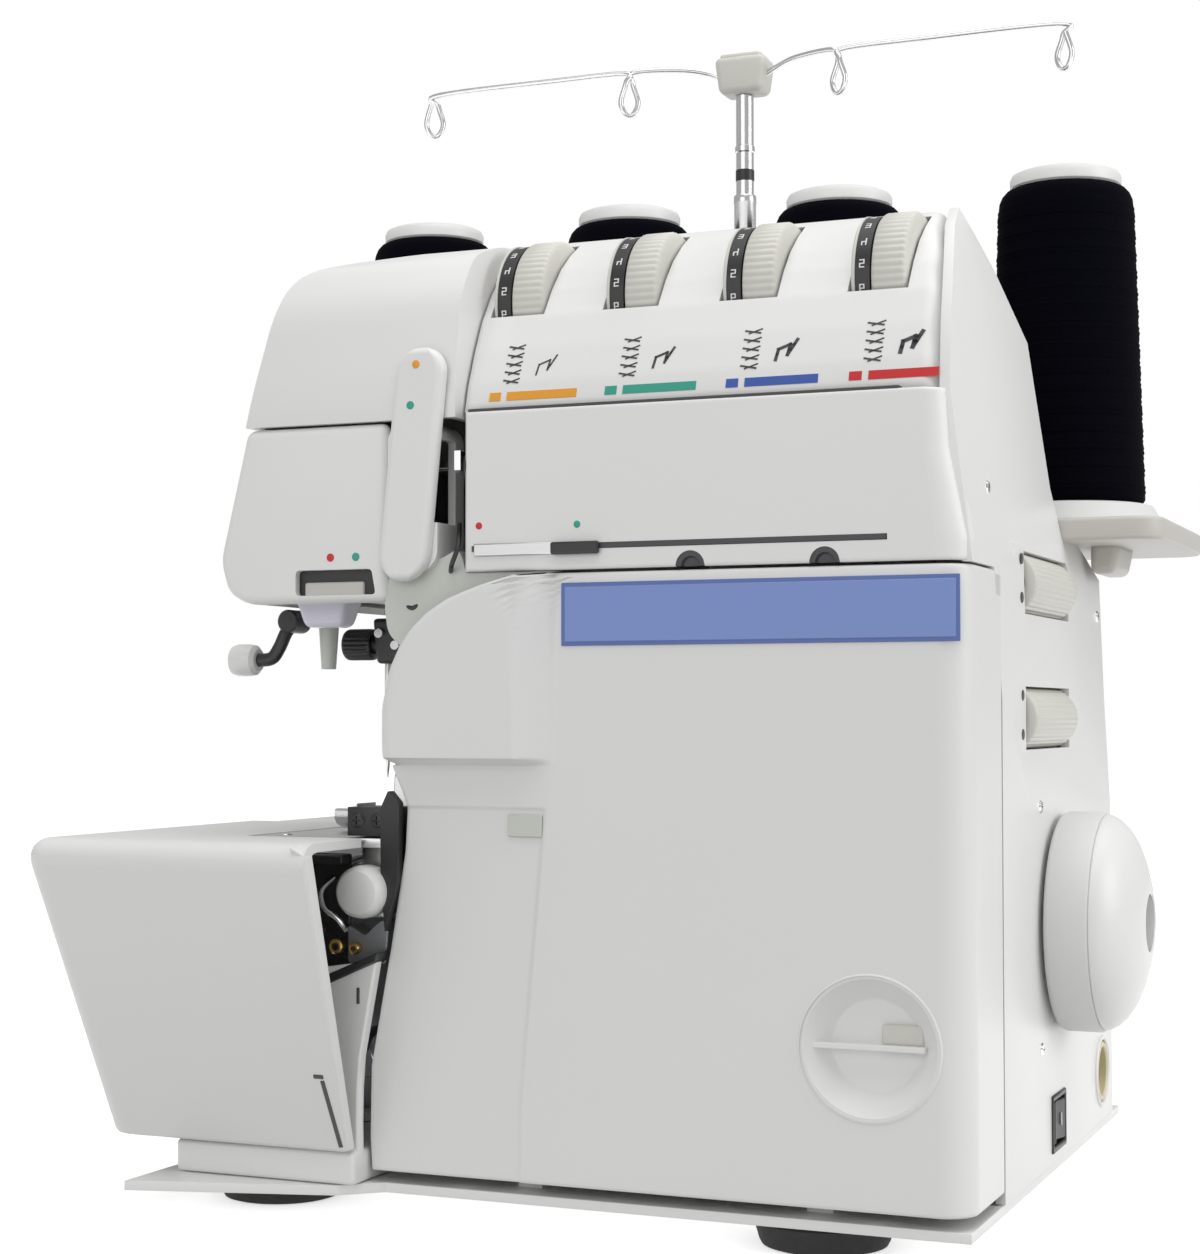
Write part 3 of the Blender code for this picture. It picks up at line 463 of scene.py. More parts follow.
def tube(name, points, radius, *look, sides=12, ends=None):
    """A round wire through points. ends gives a radius at each end, for a taper."""
    mesh = bpy.data.meshes.new(name)
    points = [Vector(p) for p in points]
    verts, faces = [], []
    normal = None
    for i, point in enumerate(points):
        ahead = points[min(i + 1, len(points) - 1)] - points[max(i - 1, 0)]
        ahead.normalize()
        if normal is None:
            normal = ahead.orthogonal().normalized()
        normal = (normal - ahead * normal.dot(ahead)).normalized()
        other = ahead.cross(normal)
        share = i / (len(points) - 1)
        size = radius if ends is None else ends[0] + (ends[1] - ends[0]) * share
        for k in range(sides):
            turn = 2 * math.pi * k / sides
            verts.append(point + (normal * math.cos(turn) + other * math.sin(turn)) * size)
    for i in range(len(points) - 1):
        for k in range(sides):
            n = (k + 1) % sides
            faces.append((i * sides + k, i * sides + n, (i + 1) * sides + n, (i + 1) * sides + k))
    faces.append(tuple(range(sides))[::-1])
    faces.append(tuple((len(points) - 1) * sides + k for k in range(sides)))
    mesh.from_pydata([tuple(v) for v in verts], [], faces)
    return smooth(add(name, mesh, *look), 60)


def curve_through(knots, steps=6):
    """Points on a Catmull-Rom curve through the knots."""
    ends = [knots[0], *knots, knots[-1]]
    points = []
    for a, b, c, d in zip(ends, ends[1:], ends[2:], ends[3:]):
        a, b, c, d = Vector(a), Vector(b), Vector(c), Vector(d)
        for i in range(steps):
            t = i / steps
            linear = (c - a) * t
            square = (2 * a - 5 * b + 4 * c - d) * t**2
            cube = (3 * b - 3 * c + d - a) * t**3
            points.append((2 * b + linear + square + cube) / 2)
    points.append(Vector(knots[-1]))
    return points


def rounded_rectangle(x0, x1, y0, y1, radius, steps=8):
    corners = ((x1, y1, 0), (x0, y1, 90), (x0, y0, 180), (x1, y0, 270))
    outline = []
    for x, y, start in corners:
        middle_x = x - math.copysign(radius, x - (x0 + x1) / 2)
        middle_y = y - math.copysign(radius, y - (y0 + y1) / 2)
        for i in range(steps + 1):
            turn = math.radians(start + 90 * i / steps)
            outline.append(
                (middle_x + radius * math.cos(turn), middle_y + radius * math.sin(turn))
            )
    return outline


def blend_step(value, low, high):
    """0 below low, 1 above high, smooth between."""
    t = min(max((value - low) / (high - low), 0.0), 1.0)
    return t * t * (3 - 2 * t)


def between(value, *stops):
    """Straight-line interpolation through (position, result) stops."""
    if value <= stops[0][0]:
        return stops[0][1]
    for (a, fa), (b, fb) in zip(stops, stops[1:]):
        if value <= b:
            return fa + (fb - fa) * (value - a) / (b - a)
    return stops[-1][1]


def edge_drop(distance, radius):
    """How far a surface falls back at a distance from its rounded edge."""
    if distance >= radius:
        return 0.0
    return radius - math.sqrt(max(radius**2 - (radius - distance) ** 2, 0.0))


def lines(start, end, step):
    """Grid positions: even steps, closer together in the last millimetre at each end."""
    edge = 1.4
    ends = [edge * (1 - math.cos(math.pi / 2 * k / 4)) for k in range(1, 5)]
    count = max(int((end - start - 2 * edge) / step), 1)
    middle = [start + edge + (end - start - 2 * edge) * k / count for k in range(1, count)]
    return [start, *[start + e for e in ends], *middle, *[end - e for e in ends[::-1]], end]


def lean(z):
    """How far the right side leans in at a height, smoothed."""
    return between(z, (205, 0.0), (231, 5.0), (277, 8.0), (292, 10.0), (309.5, 15.0))


def corner_path(s):
    """Plan path of the casing: x along the front, round the corner, then along the side.

    s is x up to the corner, then arc length. Returns the point and its outward direction.
    """
    start = SIDE_X - CORNER
    arc = CORNER * math.pi / 2
    if s <= start:
        return Vector((s, FRONT_Y)), Vector((0, -1))
    if s < start + arc:
        turn = (s - start) / CORNER
        out = Vector((math.sin(turn), -math.cos(turn)))
        centre = Vector((start, FRONT_Y + CORNER))
        return centre + out * CORNER, out
    return Vector((SIDE_X, FRONT_Y + CORNER + s - start - arc)), Vector((1, 0))


CORNER_END = SIDE_X - CORNER + CORNER * math.pi / 2


# ---- casing


def front_bulge(x, z):
    """How far the cover's left-hand bulge stands out: full on the left, sloping off at X -5."""
    if z < 139.6:
        return 0.0
    reach = 1 - min(max((x + 5.0) / 10.0, 0.0), 1.0)
    foot = blend_step(z, 139.6, 142.0)
    return 7.6 * reach * foot


def cover_left(z):
    """The front cover's left edge at a height."""
    return between(
        z, (14.5, -56.4), (25, -57.2), (47, -56.9), (83, -50.3), (113, -45.4), (128, -44.6),
        (139, -49.6), (144, -50.5), (157, -50.5), (169, -48.0), (176, -44.6), (181, -41.0),
        (186, -35.5), (190, -29.0), (193.5, -20.0), (196.4, -9.0), (197.6, 4.0),
    )


def make_front_cover():
    """The whole front: flat face, rounded right corner and the wrap behind it."""
    bottom = 15.0
    end = CORNER_END + 30.0

    def place(u, v):
        top = COVER_TOP
        z = bottom + (top - bottom) * v
        left = cover_left(z)
        s = left + (end - left) * u
        point, out = corner_path(s)
        edge = min(s - left, 1e3)
        drop = edge_drop(edge, 5.0 if z > 139.6 else 1.6)
        drop = max(drop, edge_drop(top - z, 1.2), edge_drop(z - bottom, 1.2))
        rise = front_bulge(s, z) if s < 30 else 0.0
        field = 0.0
        if z < 127.6 and s < 60:
            deep = 1 - blend_step(z, 126.2, 127.4)
            start = between(z, (14.5, -5.2), (39, -5.0), (128, 3.0))
            field = 0.7 * deep * (1 - blend_step(s, start - 1.2, start))
        point = point + out * (rise - drop - field)
        return (point.x, point.y, z)

    us = even(330)
    heights = sorted(
        set(
            lines(bottom, COVER_TOP, 2.0) + [
                126.0, 126.4, 126.8, 127.2, 127.6, 139.4, 140, 141, 142, 143,
            ],
        ),
    )
    vs = [(z - bottom) / (COVER_TOP - bottom) for z in heights]
    # painted shade: the front cover takes the darker copy of the white plastic
    return skin("front_cover_shell", us, vs, place, "cover", "front_cover", ("front_cover",))


def face_disc_recess(cover):
    """Pieces in the round finger recess: its cone, floor and the grey latch bar."""
    profile = [(20.6, 0.5), (21.2, 0.1), (20.6, -0.15), (19.6, 0.0), (13.6, -7.0), (12.6, -7.4)]
    profile += [(0.01, -7.5), (0.01, -9.6), (14.6, -9.6), (22.2, -1.6)]
    turned(
        "recess_dish", profile, (RECESS_X, FRONT_Y, RECESS_Z), "Y", "shell", "front_cover"
    )
    bar = block("recess_latch", (104.6, -94.6, 61.4), (117.0, -91.6, 67.4), "grey", "front_cover")
    rounded(bar, 0.8)
    hole = rod("recess_way", (RECESS_X, -110, RECESS_Z), (RECESS_X, -80, RECESS_Z), 20.4, sides=96)
    cut(cover, hole)
    smooth(cover, 40)


def make_cover_details():
    """The printed band, the slot, the hinge lugs and the ribs behind the cover; the chamfer strip beside
    the bulge belongs to the cover's own surface.
    """
    band = block(
        "band_rim", (8, FRONT_Y - 0.5, 175.6), (129.5, FRONT_Y + 0.1, 194.5), "blue_rim",
        "front_cover", ("cover_band",),
    )
    rounded(band, 0.25, 2)
    field = block(
        "band_field", (9.2, FRONT_Y - 0.8, 176.8), (128.4, FRONT_Y, 193.3), "blue", "front_cover",
    )
    rounded(field, 0.25, 2)
    # painted shade: the slot in the white cover takes the darker shaded plastic
    slot = block(
        "cover_slot", (-9.6, FRONT_Y - 0.35, 118.4), (1.6, FRONT_Y + 0.4, 125.0), "shade",
        "front_cover",
    )
    rounded(slot, 0.3, 2)
    for i, x in enumerate((-30, 100)):
        lug = block(f"cover_lug_{i}", (x, -98, 15.2), (x + 6, -89, 23.8))
        cut(lug, rod("lug_way", (x - 2, HINGE_Y, HINGE_Z), (x + 8, HINGE_Y, HINGE_Z), 2.3, sides=32))
        own(rounded(lug, 0.8, 2), "shell", "front_cover")
    for i, z in enumerate((60, 105, 150)):
        block(
            f"cover_rib_{i}", (-30, -97.6, z), (118, -95.2, z + 1.8), "shell", "front_cover",
            edge=(0.4, 2),
        )


def merge_flat(mesh, gap, degrees):
    """Joins vertices nearer than gap, in metres, and merges nearly flat facets."""
    cage = bmesh.new()
    cage.from_mesh(mesh)
    bmesh.ops.remove_doubles(cage, verts=cage.verts, dist=gap)
    limit = math.radians(degrees)
    bmesh.ops.dissolve_limit(cage, angle_limit=limit, verts=cage.verts, edges=cage.edges)
    return cage_to_mesh(cage, mesh)


def from_node(node, width, finish, body="root", segments=3, degrees=30, slot=None):
    """A node's own solid with its facets merged and its edges rounded."""
    mesh = merge_flat(bpy.data.objects[node].data.copy(), 0.00001, 1.0)
    made = bpy.data.objects.new(f"{node}_moulding", mesh)
    bpy.context.scene.collection.objects.link(made)
    rounded(made, width, segments, degrees)
    return own(baked_smooth(made), finish, body, (node,), slot)


def baked_smooth(obj):
    return smooth(baked(obj), 45)


cover_shell = make_front_cover()
face_disc_recess(cover_shell)
make_cover_details()


# ---- arm and right side


def round_corner(before, here, after, radius, share, steps):
    """Points round one corner of an outline, which replace it."""
    a, b, c = Vector(before), Vector(here), Vector(after)
    reach = min(radius, (a - b).length * share, (c - b).length * share)
    if reach <= 0:
        return [tuple(b)]
    first, last = b + (a - b).normalized() * reach, b + (c - b).normalized() * reach
    return [
        tuple(first * (1 - t) ** 2 + b * 2 * t * (1 - t) + last * t**2) for t in even(steps)
    ]


def arc_points(points, radius, steps=5):
    """Rounds the inner corners of an open outline."""
    made = [points[0]]
    for before, here, after in zip(points, points[1:], points[2:]):
        made += round_corner(before, here, after, radius, 0.45, steps)
    return [*made, points[-1]]


BACK_LOW = [(115, 11.8), (115, 124), (105, 160), (97, 203), (66, 213.9)]
BACK_HIGH = [(36, 222), (33, 245), (16, 277), (-19, 295), (-34, 304), (-44.5, 308.7)]
DIAL_FRONT = [(-95, PANEL_TOP + 0.5), (-92.6, 257), (-88, 268), (-82.6, 278.8), (-76, 288)]
DIAL_FRONT += [(-69.4, 295.2), (-62, 301), (-54.6, 305.6), (-47.5, 308.9)]


def strip_place(outline, x0, x1, ahead, edge):
    """A wall that follows a (y, z) outline from x0 to x1, turned in at its right end."""
    points = [Vector(p) for p in outline]
    lengths = [0.0]
    for a, b in zip(points, points[1:]):
        lengths.append(lengths[-1] + (b - a).length)

    def place(u, v):
        travel = v * lengths[-1]
        i = 0
        while i < len(points) - 2 and lengths[i + 1] < travel:
            i += 1
        share = (travel - lengths[i]) / (lengths[i + 1] - lengths[i])
        here = points[i].lerp(points[i + 1], share)
        before, after = points[max(i - 1, 0)], points[min(i + 2, len(points) - 1)]
        first = (points[i + 1] - before).normalized()
        second = (after - points[i]).normalized()
        along = first.lerp(second, share).normalized()
        out = Vector((along.y, -along.x)) * -1
        right = x1 - lean(here.y + ahead)
        x = x0 + (right - x0) * u
        drop = max(edge_drop(right - x, edge), edge_drop(x - x0, 0.8))
        drop = max(drop, edge_drop(travel, 0.8), edge_drop(lengths[-1] - travel, 0.8))
        here = here - out * drop
        return (x, here.x, here.y)

    return place


def make_right_side():
    """The side cover: one moulding with rounded edges, and its holes."""
    from_node("right_side_cover", 1.8, "shell", segments=4, degrees=40)


def make_arm_panel():
    """The arm's front: a flat panel with a rounded right end and the thread rail."""
    low, high = COVER_TOP + 0.9, PANEL_TOP - 0.4
    end = CORNER_END - 1.0

    def place(u, v):
        z = low + (high - low) * v
        s = -24.5 + (end + 24.5) * u
        point, out = corner_path(s)
        drop = max(edge_drop(high - z, 0.9), edge_drop(z - low, 0.9), edge_drop(s + 24.5, 0.9))
        point = point - out * drop
        shift = lean(z) * blend_step(s, 100, end)
        return (point.x - shift, point.y, z)

    us = even(200)
    vs = [(z - low) / (high - low) for z in lines(low, high, 1.6)]
    panel = skin("arm_panel", us, vs, place, "shell", "root", ("arm_front_panel",))
    groove = block("rail_way", (-22, FRONT_Y - 1, 204.6), (108.5, FRONT_Y + 1.0, 206.4))
    notches = [
        rod(f"notch_{i}", (x, FRONT_Y - 3, 197.6), (x, FRONT_Y + 1.6, 197.6), 4.6, sides=48)
        for i, x in enumerate((49, 90))
    ]
    cut(panel, groove, *notches)
    smooth(panel, 40)
    block(
        "panel_seam", (-23.6, FRONT_Y + 0.6, PANEL_TOP - 0.5), (112, FRONT_Y + 4, PANEL_TOP + 0.5),
        "ink", edge=(0.2, 1),
    )
    for name, x, z, finish in (("pink", -19.5, 212.5, "red"), ("green", 13.0, 212.0, "teal")):
        dot(f"panel_dot_{name}", (x, FRONT_Y, z), "Y", (1.1, 0.9, 0.05), finish)
    block(
        "thread_rail", (-21.6, FRONT_Y - 0.2, 204.75), (108.2, FRONT_Y + 0.95, 206.25), "ink",
        edge=(0.2, 2),
    )
    block(
        "rail_plate", (-21.0, FRONT_Y - 0.9, 203.2), (6.5, FRONT_Y - 0.1, 207.0), "brushed",
        edge=(0.4, 2),
    )
    block(
        "rail_guide", (5.0, FRONT_Y - 2.2, 203.0), (20.5, FRONT_Y - 0.3, 206.8), "black",
        edge=(0.7, 3),
    )
    for i, x in enumerate((49, 90)):
        ring = turned(
            f"notch_seat_{i}",
            [
                (4.5, -2.4), (4.5, 0.0), (3.8, 0.25), (2.9, -0.2), (2.4, -1.4), (0.01, -1.8),
                (0.01, -2.4),
            ],
            (x, FRONT_Y, 198.7), "Y",
        )
        cut(ring, block("seat_cut", (x - 6, FRONT_Y - 4, 190), (x + 6, FRONT_Y + 4, 198.6)))
        # painted shade: the grey notch seat is painted near black for its hollow
        own(smooth(ring), "ink", slot="grey")


def make_dial_wall():
    """The sloping panel under the dials, with their slots."""
    panel_place = strip_place(DIAL_FRONT, -27.2, 128.4, 0.0, 5.0)
    us = even(150)
    vs = even(60)
    panel = skin("dial_wall", us, vs, panel_place, "shell", "root", ("dial_panel",), thickness=2.4)
    slots = []
    for i, x in enumerate(DIAL_CENTRES_X):
        half = DIAL_WIDTH / 2 + 0.7
        start, end = (x - half, DIAL_Y, DIAL_Z), (x + half, DIAL_Y, DIAL_Z)
        slots.append(rod(f"dial_way_{i}", start, end, DIAL_R + 0.7, sides=96))
    cut(panel, *slots)
    smooth(panel, 40)


def make_arm_top():
    place = strip_place(arc_points(BACK_HIGH, 8, 4)[::-1], -27.2, 128.4, 0.0, 5.0)
    us = even(90)
    vs = even(70)
    skin("arm_top", us, vs, place, "shell", "root", ("upper_casing",))
    back = strip_place(arc_points(BACK_LOW, 12, 4)[::-1], -43.9, 128.4, 0.0, 5.0)
    vs = even(90)
    skin("rear_wall", us, vs, back, "shell", "root", ("rear_cover",), thickness=2.8)


make_right_side()
make_arm_panel()
make_dial_wall()
make_arm_top()


# ---- head


def soft_outline(points, radii, steps=6):
    """A closed outline with each corner rounded by its own reach; 0 keeps a corner sharp."""
    made = []
    for i, here in enumerate(points):
        after = points[(i + 1) % len(points)]
        made += round_corner(points[i - 1], here, after, radii[i], 0.48, steps)
    return made


def make_head():
    """The head's upper shell with its rounded brow, and the face cover under the seam."""
    front = soft_outline(
        [(-102, 246.3), (-91.5, 293), (-86, 298), (-27.8, 310), (-27.8, 246.3)], [0, 4, 4, 0, 0]
    )
    upper = prism("head_shell", "Y", front, -120, 60)
    side = [(-100, 240), (-100, 256), (-96.5, 284), (-86, 299), (-62, 306.5), (-34, 304)]
    side += [(-19, 295), (16, 277), (33, 245), (33, 240)]
    side = soft_outline(side, [0, 8, 8, 6, 10, 10, 14, 14, 10, 0])
    apply_boolean(upper, [prism("head_profile", "X", side, -130, 0)], "INTERSECT")
    merge_flat(upper.data, 0.00002, 0.8)
    rounded(upper, 3.4, 5, 38)
    baked(upper)
    hollow = [(-98.5, 240), (-88, 290), (-84, 294.5), (-30.6, 306), (-30.6, 240)]
    room = prism("head_room", "Y", hollow, -120, 60)
    inner = [(-97, 230), (-97, 252), (-91, 282.5), (-80, 294.5), (-61, 302), (-35, 300)]
    inner += [(-20.5, 291.5), (13.5, 273.5), (30, 244), (30, 230)]
    apply_boolean(room, [prism("room_profile", "X", inner, -130, 0)], "INTERSECT")
    cut(upper, room)
    own(smooth(upper, 35), "shell", "root", ("head_cover",))

    outline = [(-102, 245.7), (-112, 204), (-109, 194), (-102, 190), (-51.3, 190), (-51.3, 245.7)]
    outline = soft_outline(outline, [0, 4, 3, 4, 0, 0])
    face = prism("face_shell", "Y", outline, FRONT_Y, 33)
    rounded(face, 3.0, 5, 38)
    baked(face)
    room = [(-98.6, 250), (-108.7, 204), (-106, 197), (-101, 192.6), (-101, 180), (-40, 180)]
    room += [(-40, 250)]
    window = soft_outline(
        [(-83.5, 192.4), (-55, 192.4), (-56.5, 200.4), (-83.5, 200.4)], [1.5] * 4,
    )
    cut(
        face, prism("face_room", "Y", room, FRONT_Y + 3, 30),
        prism("window_way", "Y", window, -110, -90),
        block("face_low", (-101, -97, 180), (-40, 40, 192.6)),
    )
    own(smooth(face, 35), "shell", "root", ("face_cover",))


def make_face_details():
    """The window's dark pocket, its lip in the darker tray plastic as painted shade, and the two printed
    dots above it.
    """
    block("window_pocket", (-85, -97.4, 191.6), (-53.5, -95.8, 201.4), "black", edge=(0.4, 2))
    # painted shade: the lip is white plastic, painted in the darker tray colour
    own(
        block("window_lip", (-81, -98.6, 192.0), (-60, -96.6, 196.6), edge=(0.7, 3)), "tray",
        slot="shell_shade",
    )
    for name, x, finish in (("red", -71.0, "red"), ("green", -62.0, "teal")):
        dot(f"face_dot_{name}", (x, FRONT_Y, 204.2), "Y", (1.3, 1.0, 0.1), finish)


def make_screw(name, place, axis, side, radius, body="root", finish="steel"):
    """A pan-head screw with a crossed recess, standing out along axis by side."""
    profile = [(0.01, -0.4), (radius, -0.4), (radius, 0.2), (radius * 0.8, 0.75), (0.01, 1.0)]
    head = turned(name, profile, (0, 0, 0), "Z", steps=32)
    for i in range(2):
        arm = block(f"{name}_arm_{i}", (-radius * 0.6, -0.22, 0.3), (radius * 0.6, 0.22, 2))
        arm.data.transform(Matrix.Rotation(math.pi / 2 * i, 4, "Z"))
        cut(head, arm)
    turn = Vector((0, 0, 1)).rotation_difference(
        Vector({"X": (side, 0, 0), "Y": (0, side, 0), "Z": (0, 0, side)}[axis])
    )
    head.data.transform(Matrix.Translation(Vector(place) * MM) @ turn.to_matrix().to_4x4())
    return own(smooth(head), finish, body)


def make_takeup():
    """The long, slanted, round-ended cover over the take-up, its body and its two dots."""
    middle_x, half = -37.8, 8.6
    low, high = 196.0, 268.0

    def slant(z):
        return 6.8 * (high - z) / (high - low)

    def half_width(z):
        top = high - z
        bottom = z - low
        w = half
        if top < half:
            w = math.sqrt(max(half**2 - (half - top) ** 2, 0.0))
        if bottom < half:
            w = min(w, math.sqrt(max(half**2 - (half - bottom) ** 2, 0.0)))
        return w

    def place(u, v):
        z = low + 0.05 + (high - low - 0.1) * v
        w = half_width(z)
        x = middle_x + w * (2 * u - 1)
        inset = min(w - abs(x - middle_x), high - z, z - low)
        drop = edge_drop(max(inset, 0.0), 2.4)
        return (x - slant(z), FRONT_Y - 4.2 + drop * 1.4, z)

    us = [0.5 - 0.5 * math.cos(math.pi * i / 40) for i in range(41)]
    vs = [0.5 - 0.5 * math.cos(math.pi * i / 160) for i in range(161)]
    skin("takeup_face", us, vs, place, "shell", "root", ("takeup_cover",))
    outline = rounded_rectangle(-50.6, -33.4, 199.4, 245.4, 6)
    body = prism("takeup_body", "Y", outline, FRONT_Y - 0.6, -82)
    hollow = prism("takeup_room", "Y", rounded_rectangle(-47.8, -36, 202, 243, 4), -97, -70)
    cut(body, hollow, block("takeup_slot", (-38, -101.4, 214), (-26, -88, 240)))
    own(rounded(body, 0.8, 2), "shell")
    for name, z, finish in (("orange", 262.5, "orange"), ("green", 250.0, "teal")):
        place = (middle_x - 0.4 - slant(z) * 1.6, FRONT_Y - 4.2, z)
        dot(f"takeup_dot_{name}", place, "Y", (1.3, 1.0, 0.05), finish)


make_head()
make_face_details()
make_takeup()


# ---- tension dials


def ribbed(name, rows, full, ribs, sides, depth, place, *look):
    """A closed wheel of (position, radius) rows, ribbed where its radius is at least full."""
    mesh = bpy.data.meshes.new(name)
    steps = ribs * sides
    points, faces = [], []
    for along, radius in rows:
        for j in range(steps):
            turn = 2 * math.pi * j / steps
            groove = 0.5 - 0.5 * math.cos(turn * ribs)
            r = radius - depth * (1 - groove**0.6) if radius >= full else radius
            points.append(place(along, r * math.cos(turn), r * math.sin(turn)))
    for i in range(len(rows)):
        n = (i + 1) % len(rows)
        for j in range(steps):
            k = (j + 1) % steps
            faces.append((i * steps + j, i * steps + k, n * steps + k, n * steps + j))
    mesh.from_pydata(points, [], faces)
    cage = bmesh.new()
    cage.from_mesh(mesh)
    return smooth(add(name, cage_to_mesh(cage, mesh, True), *look), 50)


def ribbed_wheel(name, centre, radius, half, ribs, depth, *look):
    """A wheel along X with fine lengthwise grip ribs and rounded rims."""
    rows = [(-half, 0.62), (-half, 0.9), (-half + 0.5, 0.965), (-half + 1.3, 1.0)]
    rows = [(x, radius * size) for x, size in rows + [(-x, size) for x, size in rows[::-1]]]

    def place(x, y, z):
        return (centre[0] + x, centre[1] + y, centre[2] + z)

    return ribbed(name, rows, radius * 0.99, ribs, 8, depth, place, *look)


SEGMENTS = {  # the strokes of a plain seven-stroke digit, in a 2 by 4 cell
    "top": ((0, 4), (2, 4)),
    "middle": ((0, 2), (2, 2)),
    "bottom": ((0, 0), (2, 0)),
    "left_high": ((0, 2), (0, 4)),
    "left_low": ((0, 0), (0, 2)),
    "right_high": ((2, 2), (2, 4)),
    "right_low": ((2, 0), (2, 2)),
}
DIGITS = {
    1: ("right_high", "right_low"), 2: ("top", "right_high", "middle", "left_low", "bottom"),
    3: ("top", "right_high", "middle", "right_low", "bottom"),
    4: ("left_high", "middle", "right_high", "right_low"),
    5: ("top", "left_high", "middle", "right_low", "bottom"),
    6: ("top", "left_high", "middle", "left_low", "bottom", "right_low"),
    7: ("top", "right_high", "right_low"), 8: tuple(SEGMENTS),
    9: ("top", "left_high", "middle", "right_high", "right_low", "bottom"),
}


def stroke(cage, a, b, width, lift, place):
    """One raised stroke between two cell points, mapped onto a surface by place."""
    a, b = Vector(a), Vector(b)
    along = (b - a).normalized() * width / 2
    across = Vector((-along.y, along.x))
    corners = [a - along - across, b + along - across, b + along + across, a - along + across]
    low = [cage.verts.new(place(c.x, c.y, 0.0)) for c in corners]
    high = [cage.verts.new(place(c.x, c.y, lift)) for c in corners]
    cage.faces.new(high)
    cage.faces.new(low[::-1])
    for i in range(4):
        n = (i + 1) % 4
        cage.faces.new((low[i], low[n], high[n], high[i]))


def make_dials():
    """Four dials, each with a grip of fine ribs and a black number strip on its left."""
    for number, x in enumerate(DIAL_CENTRES_X, 1):
        body = f"tension_dial_{number}"
        half = DIAL_WIDTH / 2
        ribbed_wheel(
            f"dial_grip_{number}", (x + 2.9, DIAL_Y, DIAL_Z), DIAL_R, half - 3.0, 60, 0.45,
            "grey", body, (body,),
        )
        turned(
            f"dial_strip_{number}",
            [(14, -half + 1.3), (STRIP_R, -half + 1.3), (STRIP_R, -half + 5.8), (14, -half + 5.8)],
            (x, DIAL_Y, DIAL_Z), "X", "black", body,
        )
        turned(
            f"dial_rim_{number}",
            [
                (14, -half + 0.1), (20.9, -half + 0.1), (21.5, -half + 0.6), (21.5, -half + 1.3),
                (14, -half + 1.3),
            ],
            (x, DIAL_Y, DIAL_Z), "X", "grey", body,
        )
        # painted shade: the grey hub, sunk between rim and grip, takes the darker shaded plastic
        own(
            turned(
                f"dial_hub_{number}",
                [(0.01, -half + 1.2), (14.2, -half + 1.2), (14.2, half - 0.4), (0.01, half - 0.4)],
                (x, DIAL_Y, DIAL_Z), "X",
            ),
            "shade", body, slot="grey",
        )
        make_dial_numbers(number, x - half + 2.1, body)


def make_dial_numbers(number, left, body):
    """White digits 1 to 9 round the black strip."""
    mesh = bpy.data.meshes.new(f"dial_numbers_{number}")
    cage = bmesh.new()
    size = 0.62
    for digit, strokes in DIGITS.items():
        centre = math.radians(200 - 20 * digit)
        for name in strokes:
            a, b = SEGMENTS[name]

            def place(u, v, lift):
                turn = centre - (v - 2) * size * 0.9 / STRIP_R
                r = STRIP_R - 0.05 + lift
                x = left + 0.7 + u * size
                return Vector((x, DIAL_Y - r * math.sin(turn), DIAL_Z + r * math.cos(turn) * -1))

            stroke(cage, a, b, 0.62, 0.14, place)
    cage_to_mesh(cage, mesh, True)
    add(f"dial_numbers_{number}", mesh, "shell", body)


def on_panel(travel):
    """A point on the dial wall a distance up from its foot, and its outward direction."""
    for (y0, z0), (y1, z1) in zip(DIAL_FRONT, DIAL_FRONT[1:]):
        length = math.hypot(y1 - y0, z1 - z0)
        if travel <= length:
            break
        travel -= length
    share = travel / length
    out = Vector(((z0 - z1) / length, (y1 - y0) / length))
    return Vector((y0 + (y1 - y0) * share, z0 + (z1 - z0) * share)), out


def legend(name, parts, finish):
    """Thin raised print on the dial wall: strokes in (x, travel) pairs with a width."""
    mesh = bpy.data.meshes.new(name)
    cage = bmesh.new()

    def place(x, travel, lift):
        point, out = on_panel(travel)
        point = point + out * (lift + 0.02)
        return Vector((x, point.x, point.y))

    for a, b, width in parts:
        pieces = max(int(abs(b[1] - a[1]) / 1.5), 1)
        a, b = Vector(a), Vector(b)
        for i in range(pieces):
            stroke(cage, a.lerp(b, i / pieces), a.lerp(b, (i + 1) / pieces), width, 0.13, place)
    cage_to_mesh(cage, mesh, True)
    add(name, mesh, finish)


MARKS = (
    ("orange", -18.7, 10.2), ("teal", 19.7, 48.7), ("bar_blue", 58.3, 86.4), ("red", 95.9, 122.2),
)


def make_legends():
    """Under each dial: a coloured square and bar, and plain threading-guide strokes."""
    for index, (finish, x0, x1) in enumerate(MARKS):
        parts = [((x0 + 1.2, 4.2), (x0 + 2.2, 4.2), 2.8), ((x0 + 7.0, 4.2), (x1 - 1.4, 4.2), 2.8)]
        legend(f"colour_bar_{index}", parts, finish)
        marks = []
        for row in range(5):
            marks.append(((x0 + 4.0, 9.6 + row * 3.0), (x0 + 8.6, 8.6 + row * 3.0), 0.55))
            marks.append(((x0 + 5.2, 8.6 + row * 3.0), (x0 + 9.0, 10.0 + row * 3.0), 0.45))
        curl = [(x0 + 14.5, 11.0), (x0 + 15.0, 14.5), (x0 + 18.5, 16.0), (x0 + 18.0, 12.5)]
        curl += [(x0 + 20.5, 17.5)]
        for a, b in zip(curl, curl[1:]):
            marks.append((a, b, 0.5 + 0.25 * index))
        legend(f"guide_marks_{index}", marks, "ink")


make_dials()
make_legends()


# ---- bed and base


